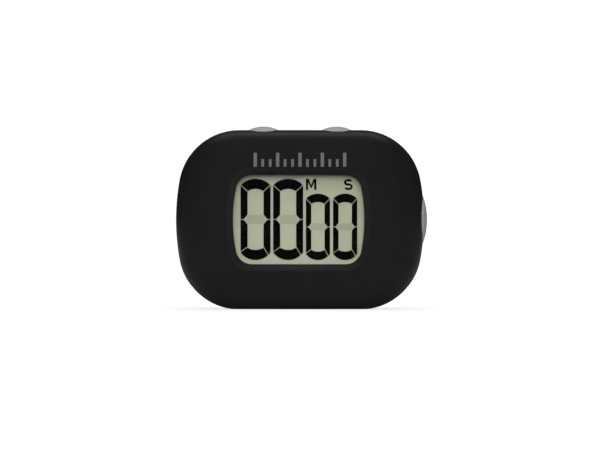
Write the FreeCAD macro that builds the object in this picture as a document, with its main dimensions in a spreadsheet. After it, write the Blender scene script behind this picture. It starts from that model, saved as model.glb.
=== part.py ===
import FreeCAD, Part
import math
import os
import re

import Sketcher

# Kitchen timer with a liquid crystal display, in millimetres.
# +X is to the right seen from the front, +Y to the back, +Z up.
# The origin is in the middle of the flat base, on the plane where the shells meet.

os.makedirs("parts", exist_ok=True)
doc = FreeCAD.newDocument("KitchenTimer")
sheet = doc.addObject("Spreadsheet::Sheet", "Sizes")
Vec = FreeCAD.Vector

SIZES = (
    # case
    ("body_width", 75.0, "case across its widest part"),
    ("body_height", 54.16, "case outline before the base is cut flat"),
    ("body_depth", 25.0, "front face to back face"),
    ("corner_radius", 18.4, "corners of the outline"),
    ("side_radius", 68.4, "bowed sides of the outline"),
    ("base_cut", 0.11, "taken off the outline for the flat base"),
    ("wall", 1.8, "shell wall"),
    ("dome_rise", 2.7, "front face bulge over the case width"),
    ("front_rim", 10.0, "rounding around the front face"),
    ("rear_rim", 6.0, "rounding around the back face"),
    ("base_rim", 4.0, "rounding along the base, front and back"),
    ("lip_inset", 1.0, "outside of the locating lip below the case surface"),
    ("lip_height", 1.5, "locating lip past the parting plane"),
    ("lip_gap", 0.06, "clearance round the locating lip"),
    # window
    ("window_width", 39.5, "visible opening"),
    ("window_height", 26.8, "visible opening"),
    ("window_corner", 4.84, "opening corners"),
    ("window_side", 49.6, "bowed sides of the opening"),
    ("window_shift", -0.41, "opening centre from the case centre"),
    ("sill_width", 1.8, "sloping border round the opening"),
    ("pane_setback", 2.6, "front of the case to the window pane"),
    ("pane_thickness", 0.8, "clear window pane"),
    ("pane_border", 1.85, "pane hidden behind the case, each side"),
    ("frame_depth", 3.6, "front of the case to the back of the window frame"),
    # display cell
    ("glass_thickness", 0.7, "each display glass"),
    ("cell_gap", 0.1, "between the display glasses"),
    ("film_thickness", 0.2, "polariser or reflector film"),
    ("stroke_thickness", 0.05, "display segment"),
    # circuit board
    ("board_thickness", 1.0, "circuit board"),
    ("board_setback", 7.9, "front of the case to the front of the board"),
    ("board_bottom", 7.3, "lower edge of the board above the base"),
    ("boss_inset", 8.5, "screw axis from the widest side"),
    ("boss_offset", 13.5, "screw axis above or below the case centre"),
    ("boss_diameter", 5.4, "screw boss"),
    # buttons
    ("top_button_pitch", 22.1, "between the two top buttons"),
    ("top_button_diameter", 9.4, "top button"),
    ("button_rise", 1.1, "top buttons above the case"),
    ("side_button_length", 15.0, "side button along the side"),
    ("side_button_depth", 9.4, "side button front to back"),
    ("side_rise", 0.94, "side button beyond the case"),
    ("button_gap", 0.12, "clearance round a button"),
    ("flange_border", 1.1, "retaining flange round a button"),
    ("flange_thickness", 1.2, "retaining flange"),
    ("travel_gap", 0.1, "flange to its stop at rest"),
    ("stem_diameter", 3.4, "switch plunger"),
    ("switch_width", 6.0, "switch body along the case edge"),
    # power
    ("cell_diameter", 10.5, "AAA cell"),
    ("cell_length", 44.5, "AAA cell with its nub"),
    ("cell_height", 13.5, "cell axis above the base"),
    ("tray_length", 49.4, "cell bay inside length"),
    ("tray_height", 11.4, "cell bay inside height"),
    ("tray_wall", 1.3, "cell bay wall"),
    ("hinge_radius", 1.5, "battery door knuckle"),
    ("pin_radius", 0.8, "battery door pin"),
    # magnets and buzzer
    ("magnet_diameter", 12.0, "holding magnet"),
    ("magnet_thickness", 2.5, "holding magnet"),
    ("magnet_spacing", 37.0, "between the magnets"),
    ("magnet_drop", 14.0, "magnet centre below the top of the case"),
    ("buzzer_diameter", 20.0, "sounder disc"),
    ("buzzer_height", 34.5, "sounder centre above the base"),
)
NAMES = {name for name, _, _ in SIZES}
for row, (name, number, note) in enumerate(SIZES, start=1):
    sheet.set("A%d" % row, name)
    sheet.set("B%d" % row, str(number))
    sheet.set("C%d" % row, note)
    sheet.setAlias("B%d" % row, name)
doc.recompute()

# positions that several sub-parts share, as formulas of the sizes
HALF_W = "(body_width / 2)"
HALF_D = "(body_depth / 2)"
MID = "(body_height / 2 - base_cut)"
TOP = "(body_height - base_cut)"
FRAME_BACK = "(frame_depth - body_depth / 2)"
GLASS_FRONT = "(frame_depth + 0.7 - body_depth / 2)"
BOARD_FRONT = "(board_setback - body_depth / 2)"
BOARD_BACK = "(board_setback + board_thickness - body_depth / 2)"
BOARD_TOP = "(body_height - base_cut - 6.8)"
FLANGE_TOP = "(body_height - base_cut - 3.7)"
FLANGE_SIDE = "(body_width / 2 - 3.1)"
TRAY_FRONT = "(body_depth / 2 - 14.3)"
BACK = HALF_D
BACK_INSIDE = "(body_depth / 2 - wall)"
CELL_Y = "(body_depth / 2 - 7.7)"
HINGE_Z = "(cell_height - 5.4 + hinge_radius)"
NUB_TIP = "(tray_length / 2 - 0.4)"
BOSS_X = "(body_width / 2 - boss_inset)"
DOME = "((body_width * body_width / 4 + dome_rise * dome_rise) / (2 * dome_rise))"

AXIS_TURN = {
    "x": FreeCAD.Rotation(Vec(0, 1, 0), 90),
    "y": FreeCAD.Rotation(Vec(1, 0, 0), -90),
    "z": FreeCAD.Rotation(),
}


def bound(formula):
    """Formula with each size name pointing into the sheet."""
    pattern = r"[a-z][a-z_]+"
    return re.sub(pattern, lambda m: "Sizes." + m.group() if m.group() in NAMES else m.group(), str(formula))


def number(formula):
    """Value of a formula of the sizes, for shapes that take no expression."""
    return float(sheet.evalExpression(bound(formula)))


def bind(obj, **formulas):
    """Bind properties of an object to formulas; double underscores stand for dots."""
    for name, formula in formulas.items():
        obj.setExpression(name.replace("__", "."), bound(formula))
    return obj


def place(obj, x="0", y="0", z="0"):
    """Bind the position of an object."""
    return bind(obj, Placement__Base__x=x, Placement__Base__y=y, Placement__Base__z=z)


# ---------------------------------------------------------------- primitives

def box(name, x, y, z):
    """Box between three pairs of formulas."""
    obj = doc.addObject("Part::Box", name)
    length, width, height = ["(%s) - (%s)" % (high, low) for low, high in (x, y, z)]
    bind(obj, Length=length, Width=width, Height=height)
    return place(obj, x[0], y[0], z[0])


def span(middle, size):
    """Low and high ends of a length centred on a place."""
    return ("%s - (%s) / 2" % (middle, size), "%s + (%s) / 2" % (middle, size))


def rod(name, axis, radius, length, x="0", y="0", z="0"):
    """Cylinder along +X, +Y or +Z from a start point."""
    obj = doc.addObject("Part::Cylinder", name)
    bind(obj, Radius=radius, Height=length)
    obj.Placement = FreeCAD.Placement(Vec(), AXIS_TURN[axis])
    return place(obj, x, y, z)


def oval_rod(name, axis, major, minor, length, x="0", y="0", z="0"):
    """Elliptic cylinder: along +Z with the major axis on X, or along +X with it on Z."""
    curve = doc.addObject("Part::Ellipse", name + "_curve")
    bind(curve, MajorRadius=major, MinorRadius=minor)
    if axis == "x":
        curve.Placement = FreeCAD.Placement(Vec(), FreeCAD.Rotation(Vec(0, 1, 0), -90))
    place(curve, x, y, z)
    obj = doc.addObject("Part::Extrusion", name)
    obj.Base = curve
    obj.DirMode = "Custom"
    obj.Dir = Vec(1, 0, 0) if axis == "x" else Vec(0, 0, 1)
    obj.Solid = True
    return bind(obj, LengthFwd=length)


def fuse(name, *parts):
    """Union of objects."""
    obj = doc.addObject("Part::MultiFuse", name)
    obj.Shapes = list(parts)
    obj.Refine = True
    return obj


def shared(name, *parts):
    """Intersection of objects."""
    obj = doc.addObject("Part::MultiCommon", name)
    obj.Shapes = list(parts)
    return obj


def cut(name, base, *tools):
    """Base less its tools."""
    obj = doc.addObject("Part::Cut", name)
    obj.Base = base
    obj.Tool = tools[0] if len(tools) == 1 else fuse(name + "_tools", *tools)
    obj.Refine = True
    return obj


# ------------------------------------------------------------------ sketches

def new_body(name, plane, offset="0"):
    """Body with one sketch on an origin plane, moved along the plane's normal."""
    body = doc.addObject("PartDesign::Body", name)
    return body, new_sketch(body, name + "_sketch", plane, offset)


def new_sketch(body, name, plane, offset="0"):
    """Sketch on one of the body's own origin planes."""
    sketch = body.newObject("Sketcher::SketchObject", name)
    base = [f for f in body.Origin.OriginFeatures if f.Role == plane][0]
    sketch.AttachmentSupport = (base, [""])
    sketch.MapMode = "FlatFace"
    return bind(sketch, AttachmentOffset__Base__z=offset)


def fix(sketch, formula, *details):
    """Dimensional constraint bound to a formula."""
    index = sketch.addConstraint(Sketcher.Constraint(*details, number(formula)))
    sketch.setExpression("Constraints[%d]" % index, bound(formula))


def bowed_outline(sketch, width, height, corner, side, inset="0"):
    """Closed outline of two straight edges, four corner arcs and two bowed sides, all tangent."""
    inset = "(%s)" % inset
    half_w = "(%s / 2 - %s)" % (width, inset)
    half_h = "(%s / 2 - %s)" % (height, inset)
    corner = "(%s - %s)" % (corner, inset)
    side = "(%s - %s)" % (side, inset)
    w, h, rc, rs = number(half_w), number(half_h), number(corner), number(side)
    cz = h - rc
    sx = w - rs
    cx = sx + math.sqrt((rs - rc) ** 2 - cz ** 2)
    turn = math.atan2(cz, cx - sx)
    quarter = math.pi / 2

    def line(x1, x2, z):
        sketch.addGeometry(Part.LineSegment(Vec(x1, z, 0), Vec(x2, z, 0)))

    def arc(x, z, radius, start, end):
        circle = Part.Circle(Vec(x, z, 0), Vec(0, 0, 1), radius)
        sketch.addGeometry(Part.ArcOfCircle(circle, start, end))

    line(-cx, cx, h)
    arc(cx, cz, rc, turn, quarter)
    arc(sx, 0, rs, -turn, turn)
    arc(cx, -cz, rc, -quarter, -turn)
    line(-cx, cx, -h)
    arc(-cx, -cz, rc, 2 * quarter + turn, 3 * quarter)
    arc(-sx, 0, rs, 2 * quarter - turn, 2 * quarter + turn)
    arc(-cx, cz, rc, quarter, 2 * quarter - turn)
    joints = ((0, 2, 1, 2), (1, 1, 2, 2), (2, 1, 3, 2), (3, 1, 4, 2))
    joints += ((4, 1, 5, 2), (5, 1, 6, 2), (6, 1, 7, 2), (7, 1, 0, 1))
    for joint in joints:
        sketch.addConstraint(Sketcher.Constraint("Tangent", *joint))
    for edge in (0, 4):
        sketch.addConstraint(Sketcher.Constraint("Horizontal", edge))
    for edge in (3, 5, 7):
        sketch.addConstraint(Sketcher.Constraint("Equal", 1, edge))
    sketch.addConstraint(Sketcher.Constraint("Equal", 2, 6))
    for edge in (2, 6):
        sketch.addConstraint(Sketcher.Constraint("PointOnObject", edge, 3, -1))
    fix(sketch, corner, "Radius", 1)
    fix(sketch, side, "Radius", 2)
    fix(sketch, "%s - %s" % (side, half_w), "DistanceX", 2, 3, -1, 1)
    fix(sketch, "%s - %s" % (side, half_w), "DistanceX", -1, 1, 6, 3)
    fix(sketch, half_h, "DistanceY", -1, 1, 0, 1)
    fix(sketch, half_h, "DistanceY", 4, 1, -1, 1)


def rounded_rectangle(sketch, width, height, corner):
    """Rectangle with rounded corners, centred on the sketch origin."""
    w, h, r = number(width) / 2, number(height) / 2, number(corner)
    quarter = math.pi / 2
    top, right = ((r - w, h), (w - r, h)), ((w, h - r), (w, r - h))
    bottom, left = ((w - r, -h), (r - w, -h)), ((-w, r - h), (-w, h - r))
    edges = (top, right, bottom, left)
    centres = ((w - r, h - r, 0), (w - r, r - h, -1), (r - w, r - h, -2), (r - w, h - r, 1))
    for start, end in edges:
        sketch.addGeometry(Part.LineSegment(Vec(*start, 0), Vec(*end, 0)))
    for x, z, turn in centres:
        circle = Part.Circle(Vec(x, z, 0), Vec(0, 0, 1), r)
        sketch.addGeometry(Part.ArcOfCircle(circle, turn * quarter, (turn + 1) * quarter))
    for index in range(4):
        after = (index + 1) % 4
        sketch.addConstraint(Sketcher.Constraint("Tangent", index, 2, index + 4, 2))
        sketch.addConstraint(Sketcher.Constraint("Tangent", index + 4, 1, after, 1))
    for index in range(3):
        sketch.addConstraint(Sketcher.Constraint("Equal", 4, index + 5))
    for edge, direction in enumerate(("Horizontal", "Vertical") * 2):
        sketch.addConstraint(Sketcher.Constraint(direction, edge))
    fix(sketch, corner, "Radius", 4)
    fix(sketch, "(%s) / 2" % height, "DistanceY", -1, 1, 0, 1)
    fix(sketch, "(%s) / 2" % height, "DistanceY", 2, 1, -1, 1)
    fix(sketch, "(%s) / 2" % width, "DistanceX", -1, 1, 1, 1)
    fix(sketch, "(%s) / 2" % width, "DistanceX", 3, 1, -1, 1)


def circle_at(sketch, radius, x="0", z="0"):
    """Circle fixed by its radius and centre."""
    index = sketch.addGeometry(Part.Circle(Vec(number(x), number(z), 0), Vec(0, 0, 1), number(radius)))
    fix(sketch, radius, "Radius", index)
    fix(sketch, x, "DistanceX", -1, 1, index, 3)
    fix(sketch, z, "DistanceY", -1, 1, index, 3)


def pad(body, sketch, length, back=False):
    """Pad towards the front of the case, or towards the back."""
    obj = body.newObject("PartDesign::Pad", body.Name + "_pad")
    obj.Profile = sketch
    obj.Reversed = back
    bind(obj, Length=length)
    body.Tip = obj
    return obj


def bowed_plate(name, size, thickness, x="0", y="0", z=MID, inset="0", back=False):
    """Plate with the bowed outline; y is its face on the far side of the pad."""
    body, sketch = new_body(name, "XZ_Plane")
    bowed_outline(sketch, *size, inset=inset)
    pad(body, sketch, thickness, back)
    return place(body, x, y, z)


def flat_plate(name, width, height, corner, thickness, x="0", y="0", z=MID):
    """Rounded rectangular plate; y is its back face."""
    body, sketch = new_body(name, "XZ_Plane")
    rounded_rectangle(sketch, width, height, corner)
    pad(body, sketch, thickness)
    return place(body, x, y, z)


CASE = ("body_width", "body_height", "corner_radius", "side_radius")
OPENING = ("window_width", "window_height", "window_corner", "window_side")
WINDOW_X = "window_shift"


# --------------------------------------------------------------------- case

def winding(ends):
    """Direction of an edge round the middle of the case, as +1 or -1."""
    (x1, z1), (x2, z2) = [(end.x, end.z - number(MID)) for end in ends]
    return 1 if x1 * z2 > x2 * z1 else -1


def round_rim(name, base, rim, foot, front):
    """Round the edges of the front or back face: rim everywhere, foot along the base.

    The radii of each edge run in the direction of the first edge of the ring.
    """
    doc.recompute()
    rim, foot = number(rim), number(foot)
    edge_limit = number("body_depth / 5")
    low = number(MID) - number("body_height / 2") + 3.0
    edges = []
    course = None
    for index, edge in enumerate(base.Shape.Edges, start=1):
        ends = [edge.valueAt(edge.FirstParameter), edge.valueAt(edge.LastParameter)]
        if all(end.y < -edge_limit if front else end.y > edge_limit for end in ends):
            course = course or winding(ends)
            radii = [foot if end.z < low else rim for end in ends][::course * winding(ends)]
            edges.append((index, radii[0], radii[1]))
    obj = doc.addObject("Part::Fillet", name)
    obj.Base = base
    obj.Edges = edges
    return obj


def front_form(name, inset):
    """Front half of the case, solid, at a distance below the outer surface."""
    block = bowed_plate(name + "_block", CASE, "%s - %s" % (HALF_D, inset), inset=inset)
    ball = doc.addObject("Part::Sphere", name + "_ball")
    bind(ball, Radius="%s - %s" % (DOME, inset))
    place(ball, "0", "%s - %s" % (DOME, HALF_D), MID)
    domed = shared(name + "_domed", block, ball)
    return round_rim(name, domed, "front_rim - %s" % inset, "base_rim - %s" % inset, True)


def rear_form(name, inset):
    """Rear half of the case, solid, at a distance below the outer surface."""
    block = bowed_plate(name + "_block", CASE, "%s - %s" % (HALF_D, inset), inset=inset, back=True)
    return round_rim(name, block, "rear_rim - %s" % inset, "base_rim - %s" % inset, False)


def below_base(name):
    """Everything under the flat base."""
    return box(name, ("-body_width", "body_width"), ("-body_depth", "body_depth"), ("-5", "0"))


def lip_band(name, outside, reach):
    """Full plate at a depth below the surface, reaching past the parting plane to the front."""
    return bowed_plate(name, CASE, "%s + 2" % reach, y="2", inset=outside)


def button_spaces(name):
    """Openings for the three buttons and their flanges."""
    tools = []
    for side, sign in (("left", "-"), ("right", "")):
        x = "%stop_button_pitch / 2" % sign
        radius = "top_button_diameter / 2"
        tools.append(rod(name + side + "_hole", "z", radius + " + button_gap", "12", x, "0", TOP + " - 9"))
        wide = radius + " + flange_border + 0.3"
        tools.append(rod(name + side + "_room", "z", wide, "4.4", x, "0", FLANGE_TOP + " + travel_gap - 4.4"))
    tall, deep = "side_button_length / 2", "side_button_depth / 2"
    gap = " + button_gap"
    tools.append(oval_rod(name + "side_hole", "x", tall + gap, deep + gap, "12", HALF_W + " - 8", "0", MID))
    border = " + flange_border + 0.3"
    start = FLANGE_SIDE + " + travel_gap - 3"
    tools.append(oval_rod(name + "side_room", "x", tall + border, deep + border, "3", start, "0", MID))
    return fuse(name, *tools)


def button_collars(name):
    """Thickened wall round each button, flat inside as the stop for its flange."""
    parts = []
    for side, sign in (("left", "-"), ("right", "")):
        x = "%stop_button_pitch / 2" % sign
        radius = "top_button_diameter / 2 + flange_border + 1.2"
        parts.append(rod(name + side, "z", radius, "6", x, "0", FLANGE_TOP + " + travel_gap"))
    tall = "side_button_length / 2 + flange_border + 1.2"
    deep = "side_button_depth / 2 + flange_border + 1.2"
    parts.append(oval_rod(name + "end", "x", tall, deep, "6", FLANGE_SIDE + " + travel_gap", "0", MID))
    return fuse(name, *parts)


def corner_rods(name, radius, y, length):
    """Four rods along Y on the screw axes."""
    rods = []
    for index, (sx, sz) in enumerate((("-", "-"), ("", "-"), ("-", "+"), ("", "+"))):
        z = "%s %s boss_offset" % (MID, sz or "+")
        rods.append(rod("%s_%d" % (name, index), "y", radius, length, sx + BOSS_X, y, z))
    return fuse(name, *rods)


def window_opening(name):
    """Sloping border that narrows from the case surface to the visible opening."""
    body, wide = new_body(name, "XZ_Plane", HALF_D + " + 0.6")
    grown = "(-1.3 * sill_width)"
    bowed_outline(wide, *OPENING, inset=grown)
    narrow = new_sketch(body, name + "_narrow", "XZ_Plane", HALF_D + " - pane_setback")
    bowed_outline(narrow, *OPENING)
    loft = body.newObject("PartDesign::AdditiveLoft", name + "_loft")
    loft.Profile = wide
    loft.Sections = [narrow]
    loft.Ruled = True
    body.Tip = loft
    return place(body, WINDOW_X, "0", MID)


def front_shell():
    """Front half of the case with its window frame and screw bosses."""
    outer = front_form("front_outer", "0")
    inner = front_form("front_inner", "wall")
    wall = cut("front_wall", outer, inner)
    frame = flat_plate("window_frame", "window_width + 7.4", "window_height + 7.4", "6", "4",
                       WINDOW_X, FRAME_BACK)
    bosses = corner_rods("front_bosses", "boss_diameter / 2", "-" + HALF_D, "board_setback")
    collars = button_collars("front_collars")
    inside = shared("front_inside", outer, fuse("front_ribs", frame, bosses, collars))
    grown = "(-pane_border - 0.05)"
    pocket_back = "pane_setback + 5.4 - " + HALF_D
    pocket = bowed_plate("pane_pocket", OPENING, "5.4", WINDOW_X, pocket_back, inset=grown)
    holder_room = flat_plate("holder_room", "window_width + 8.1", "window_height + 9.2", "1", "5",
                             WINDOW_X, FRAME_BACK + " + 5")
    tools = (
        window_opening("window_opening"), pocket, holder_room,
        corner_rods("screw_pilots", "0.8", BOARD_FRONT + " - 4.2", "6"),
        lip_band("lip_rebate", "lip_inset - lip_gap", "lip_height + lip_gap"),
        button_spaces("front_spaces"), below_base("front_base"),
    )
    kept = bowed_plate("rebate_core", CASE, "lip_height + lip_gap + 1", y="1", inset="wall")
    solid = fuse("front_solid", wall, inside)
    rebate = cut("lip_groove", tools[4], kept)
    return cut("front_shell", solid, *(tools[:4] + (rebate,) + tools[5:]))


def rear_shell():
    """Rear half of the case with cell bay, lip, bosses, magnet cups and sounder seat."""
    outer = rear_form("rear_outer", "0")
    inner = rear_form("rear_inner", "wall")
    wall = cut("rear_wall", outer, inner)
    outer_x = "(tray_length / 2 + tray_wall)"
    outer_z = "(tray_height / 2 + tray_wall)"
    tray = box("tray", ("-" + outer_x, outer_x), (TRAY_FRONT, BACK),
               ("cell_height - " + outer_z, "cell_height + " + outer_z))
    ribs = [tray, button_collars("rear_collars")]
    ribs.append(corner_rods("rear_bosses", "boss_diameter / 2 + 0.2", BOARD_BACK, BACK + " - " + BOARD_BACK))
    for side, sign in (("left", "-"), ("right", "")):
        ribs.append(rod("cup_" + side, "y", "magnet_diameter / 2 + 1.2", "magnet_thickness + 1.2",
                        sign + "magnet_spacing / 2", BACK + " - magnet_thickness - 1.2",
                        TOP + " - magnet_drop"))
    ribs.append(rod("sounder_seat", "y", "buzzer_diameter / 2 + 0.8", "1.6", "0", BACK_INSIDE + " - 1.0",
                    "buzzer_height"))
    reach = box("case_reach", ("-body_width", "body_width"), (BOARD_BACK, "0.01"), ("4", TOP + " - 4"))
    ribs_all = fuse("rear_ribs", *ribs)
    inside = fuse("rear_inside", shared("rear_clip", outer, ribs_all), shared("rear_reach", reach, tray))
    posts = corner_rods("rear_posts", "boss_diameter / 2 + 0.2", BOARD_BACK, "0.01 - " + BOARD_BACK)
    lip = cut("lip", lip_band("lip_outside", "lip_inset", "lip_height"),
              bowed_plate("lip_core", CASE, "lip_height + 8", y="4", inset="wall"))
    solid = fuse("rear_solid", wall, inside, posts, lip)
    inner_x = "(tray_length / 2)"
    inner_z = "(tray_height / 2)"
    tools = [
        box("bay", ("-" + inner_x, inner_x), (TRAY_FRONT + " + 1.2", BACK + " + 1"),
            ("cell_height - " + inner_z, "cell_height + " + inner_z)),
        corner_rods("screw_holes", "1.1", BOARD_BACK + " - 1", BACK + " - " + BOARD_BACK + " + 2"),
        corner_rods("screw_sinks", "2.1", "2", BACK),
        button_spaces("rear_spaces"), below_base("rear_base"),
        rod("sounder_room", "y", "buzzer_diameter / 2 - 1.5", "1.6",
            "0", BACK_INSIDE + " - 1.2", "buzzer_height"),
        rod("sounder_rim", "y", "buzzer_diameter / 2 + 0.05", "0.4",
            "0", BACK_INSIDE + " - 1.0", "buzzer_height"),
        box("notch", ("-4", "4"), (BACK + " - 0.9", BACK + " + 1"),
            ("cell_height + tray_height / 2 - 0.5", "cell_height + tray_height / 2 + 2.5")),
    ]
    for side, sign in (("left", "-"), ("right", "")):
        tools.append(rod("magnet_hole_" + side, "y", "magnet_diameter / 2 + 0.05", "magnet_thickness + 1",
                         sign + "magnet_spacing / 2", BACK + " - magnet_thickness", TOP + " - magnet_drop"))
        start = "-tray_length / 2 - 1.0" if sign else "tray_length / 2 - 0.5"
        tools.append(rod("hinge_hole_" + side, "x", "pin_radius + 0.05", "1.5", start,
                         BACK + " - hinge_radius", HINGE_Z))
    for index in range(5):
        turn = math.radians(90 * index)
        reach = 0 if index == 4 else 4.0
        x, z = reach * math.cos(turn), reach * math.sin(turn)
        tools.append(rod("sound_hole_%d" % index, "y", "0.75", "4", "%.3f" % x, BACK + " - 3",
                         "buzzer_height + %.3f" % z))
    return cut("rear_shell", solid, *tools)


def display_window():
    """Clear pane behind the opening."""
    return bowed_plate("display_window", OPENING, "pane_thickness", WINDOW_X,
                       "pane_setback + pane_thickness - " + HALF_D, inset="(-pane_border)")


# ------------------------------------------------------------------- display

def display_cell():
    """Films, glasses and seal of the display, from front to back."""
    front, film, glass = GLASS_FRONT, "film_thickness", "glass_thickness"
    tall = "window_height + 6.2"
    short = "window_height + 2.8"
    wide = "window_width + 5.1"
    polariser = flat_plate("lcd_front_polariser", "window_width + 1.9", "window_height + 1.9", "0.6", film,
                           WINDOW_X, front)
    first = flat_plate("lcd_front_glass", wide, tall, "0.3", glass, WINDOW_X, front + " + " + glass)
    second_y = "%s + 2 * %s + cell_gap" % (front, glass)
    second = flat_plate("lcd_rear_glass", wide, short, "0.3", glass, WINDOW_X, second_y)
    reflector = flat_plate("lcd_reflector", "window_width + 3", "window_height + 2", "0.6", film, WINDOW_X,
                           second_y + " + " + film)
    seal_y = "%s + %s + cell_gap" % (front, glass)
    ring = flat_plate("seal_outside", "window_width + 4.6", "window_height + 2.4", "0.6", "cell_gap",
                      WINDOW_X, seal_y)
    hole = flat_plate("seal_inside", "window_width + 2.6", "window_height + 0.9", "0.6", "cell_gap + 2",
                      WINDOW_X, seal_y + " + 1")
    return [polariser, first, second, reflector, cut("lcd_edge_seal", ring, hole)]


# digit: name, centre x and z from the opening centre, width, height, stroke, bar thickness
DIGITS = (
    ("minutes_tens", -12.98, 0.06, 9.05, 24.5, 2.12, 3.05),
    ("minutes_units", -3.16, 0.06, 9.05, 24.5, 2.12, 3.05),
    ("seconds_tens", 5.81, -2.18, 7.3, 20.04, 1.64, 2.55),
    ("seconds_units", 14.01, -2.18, 7.3, 20.04, 1.64, 2.55),
)
MARK_HEIGHT = 3.35
STROKE_GAP = 0.2


def flat_face(points):
    """Face in the XZ plane from a list of points; a triple of points is an arc."""
    edges = []
    last = points[-1][-1] if isinstance(points[-1][0], tuple) else points[-1]
    for item in points:
        stops = item if isinstance(item[0], tuple) else (item,)
        ends = [Vec(x, 0, z) for x, z in (last,) + tuple(stops)]
        last = stops[-1]
        if len(ends) == 3:
            edges.append(Part.Arc(*ends).toShape())
        elif ends[0] != ends[1]:
            edges.append(Part.LineSegment(*ends).toShape())
    return Part.Face(Part.Wire(edges))


def gap_bar(start, end):
    """Thin straight gap between two segments."""
    (x1, z1), (x2, z2) = start, end
    length = math.hypot(x2 - x1, z2 - z1)
    dx, dz = (x2 - x1) / length, (z2 - z1) / length
    x1, z1, x2, z2 = x1 - dx * 0.6, z1 - dz * 0.6, x2 + dx * 0.6, z2 + dz * 0.6
    nx, nz = -dz * STROKE_GAP / 2, dx * STROKE_GAP / 2
    return flat_face([(x1 - nx, z1 - nz), (x2 - nx, z2 - nz), (x2 + nx, z2 + nz), (x1 + nx, z1 + nz)])


def digit_faces(width, height, stroke, bar):
    """Six faces that make a nought, and the idle middle bar, about the digit's centre."""
    w, h = width / 2, height / 2
    shoulder, chin = h - 1.95 * width / 9.05, 2.35 * width / 9.05 - h
    inner, crown = w - stroke, h - bar
    sag = 0.75 * width / 9.05
    outside = flat_face([(-w, chin), (-w, shoulder), ((0, h), (w, shoulder)), (w, chin),
                         ((0, -h), (-w, chin))])
    inside = flat_face([(-inner, sag - crown), (-inner, crown - sag), ((0, crown), (inner, crown - sag)),
                        (inner, sag - crown), ((0, -crown), (-inner, sag - crown))])
    waist, tip = stroke * 0.68, w - stroke * 0.42
    hexagon = [(-tip, 0), (-inner, waist), (inner, waist), (tip, 0), (inner, -waist), (-inner, -waist)]
    bars = [
        gap_bar((-w, shoulder + 0.1), (-inner, crown - sag)),
        gap_bar((w, shoulder + 0.1), (inner, crown - sag)),
        gap_bar((-w, chin + 0.15), (-inner, sag - crown + 0.15)),
        gap_bar((inner, sag - crown + 0.1), (w - stroke * 0.22, chin - stroke * 0.55)),
        gap_bar((-w, 0), (w, 0)),
    ]
    lit = outside.cut(inside)
    for tool in bars + [flat_face(hexagon)]:
        lit = lit.cut(tool)
    share = 0.82
    idle = flat_face([(x * share, z * 0.97) for x, z in hexagon])
    return lit.Faces, idle


def ribbon(points, stroke):
    """Face of constant stroke width along a smooth row of points."""
    left, right = [], []
    for index, (x, z) in enumerate(points):
        x1, z1 = points[max(index - 1, 0)]
        x2, z2 = points[min(index + 1, len(points) - 1)]
        length = math.hypot(x2 - x1, z2 - z1)
        nx, nz = -(z2 - z1) / length * stroke / 2, (x2 - x1) / length * stroke / 2
        left.append((x + nx, z + nz))
        right.append((x - nx, z - nz))
    return flat_face(left + right[::-1])


def unit_marks():
    """Letters for minutes and seconds above the small digits, as (face, x, z)."""
    h, w, s = MARK_HEIGHT / 2, MARK_HEIGHT * 0.47, MARK_HEIGHT * 0.20
    minute = [(-w, -h), (-w, h), (-w + 1.25 * s, h), (0, -0.12 * h), (w - 1.25 * s, h), (w, h), (w, -h),
              (w - s, -h), (w - s, 0.42 * h), (0.32 * s, -0.62 * h), (-0.32 * s, -0.62 * h),
              (-w + s, 0.42 * h), (-w + s, -h)]
    reach, rise = MARK_HEIGHT * 0.30, (MARK_HEIGHT - s) / 4
    upper = [math.radians(25 + 245 * step / 12) for step in range(13)]
    lower = [math.radians(90 - 245 * step / 12) for step in range(13)]
    path = [(reach * math.cos(a), rise + rise * math.sin(a)) for a in upper]
    path += [(reach * math.cos(a), -rise + rise * math.sin(a)) for a in lower[1:]]
    return [(flat_face(minute), 3.77, 10.6), (ribbon(path, s), 14.98, 10.55)]


def display_segments():
    """Lit segments with the two unit marks, and the idle middle bars."""
    depth = number("stroke_thickness")
    y = number(GLASS_FRONT + " + glass_thickness + cell_gap / 2 - stroke_thickness / 2")
    middle = Vec(number(WINDOW_X), y, number(MID))
    lit, idle = [], []
    for _, x, z, width, height, stroke, bar in DIGITS:
        faces, middle_bar = digit_faces(width, height, stroke, bar)
        lit += [face.translated(middle + Vec(x, 0, z)) for face in faces]
        idle.append(middle_bar.translated(middle + Vec(x, 0, z)))
    lit += [face.translated(middle + Vec(x, 0, z)) for face, x, z in unit_marks()]
    pieces = []
    for label, faces in (("lcd_lit_segments", lit), ("lcd_idle_segments", idle)):
        obj = doc.addObject("Part::Feature", label)
        obj.Shape = Part.makeCompound([face.extrude(Vec(0, depth, 0)) for face in faces])
        pieces.append(obj)
    return pieces


def display_holder():
    """Open frame that keeps the display glass behind the window."""
    block = flat_plate("holder_block", "window_width + 7.5", "window_height + 8.6", "1",
                       "board_setback - frame_depth", WINDOW_X, BOARD_FRONT)
    sight = flat_plate("holder_sight", "window_width + 2.5", "window_height + 2.5", "0.8", HALF_D,
                       WINDOW_X, "-1")
    room = flat_plate("holder_inside", "window_width + 5.3", "window_height + 6.4", "0.3",
                      "9 - frame_depth - 0.7", WINDOW_X, "9 - " + HALF_D)
    return cut("lcd_holder", block, sight, room)


def zebra_strips():
    """Conductive rubber strips between the glass ledges and the board."""
    strips = []
    reach = "(window_width / 2 + 1.2)"
    edge, centre_gap, height = "window_height / 2", "2.25", "1.3"
    for label, sign in (("upper", "+"), ("lower", "-")):
        z = span("%s %s (%s + %s)" % (MID, sign, edge, centre_gap), height)
        y = (GLASS_FRONT + " + glass_thickness", BOARD_FRONT)
        x = ("%s - %s" % (WINDOW_X, reach), "%s + %s" % (WINDOW_X, reach))
        strips.append(box("zebra_strip_" + label, x, y, z))
    return strips


# --------------------------------------------------------------- electronics

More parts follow.
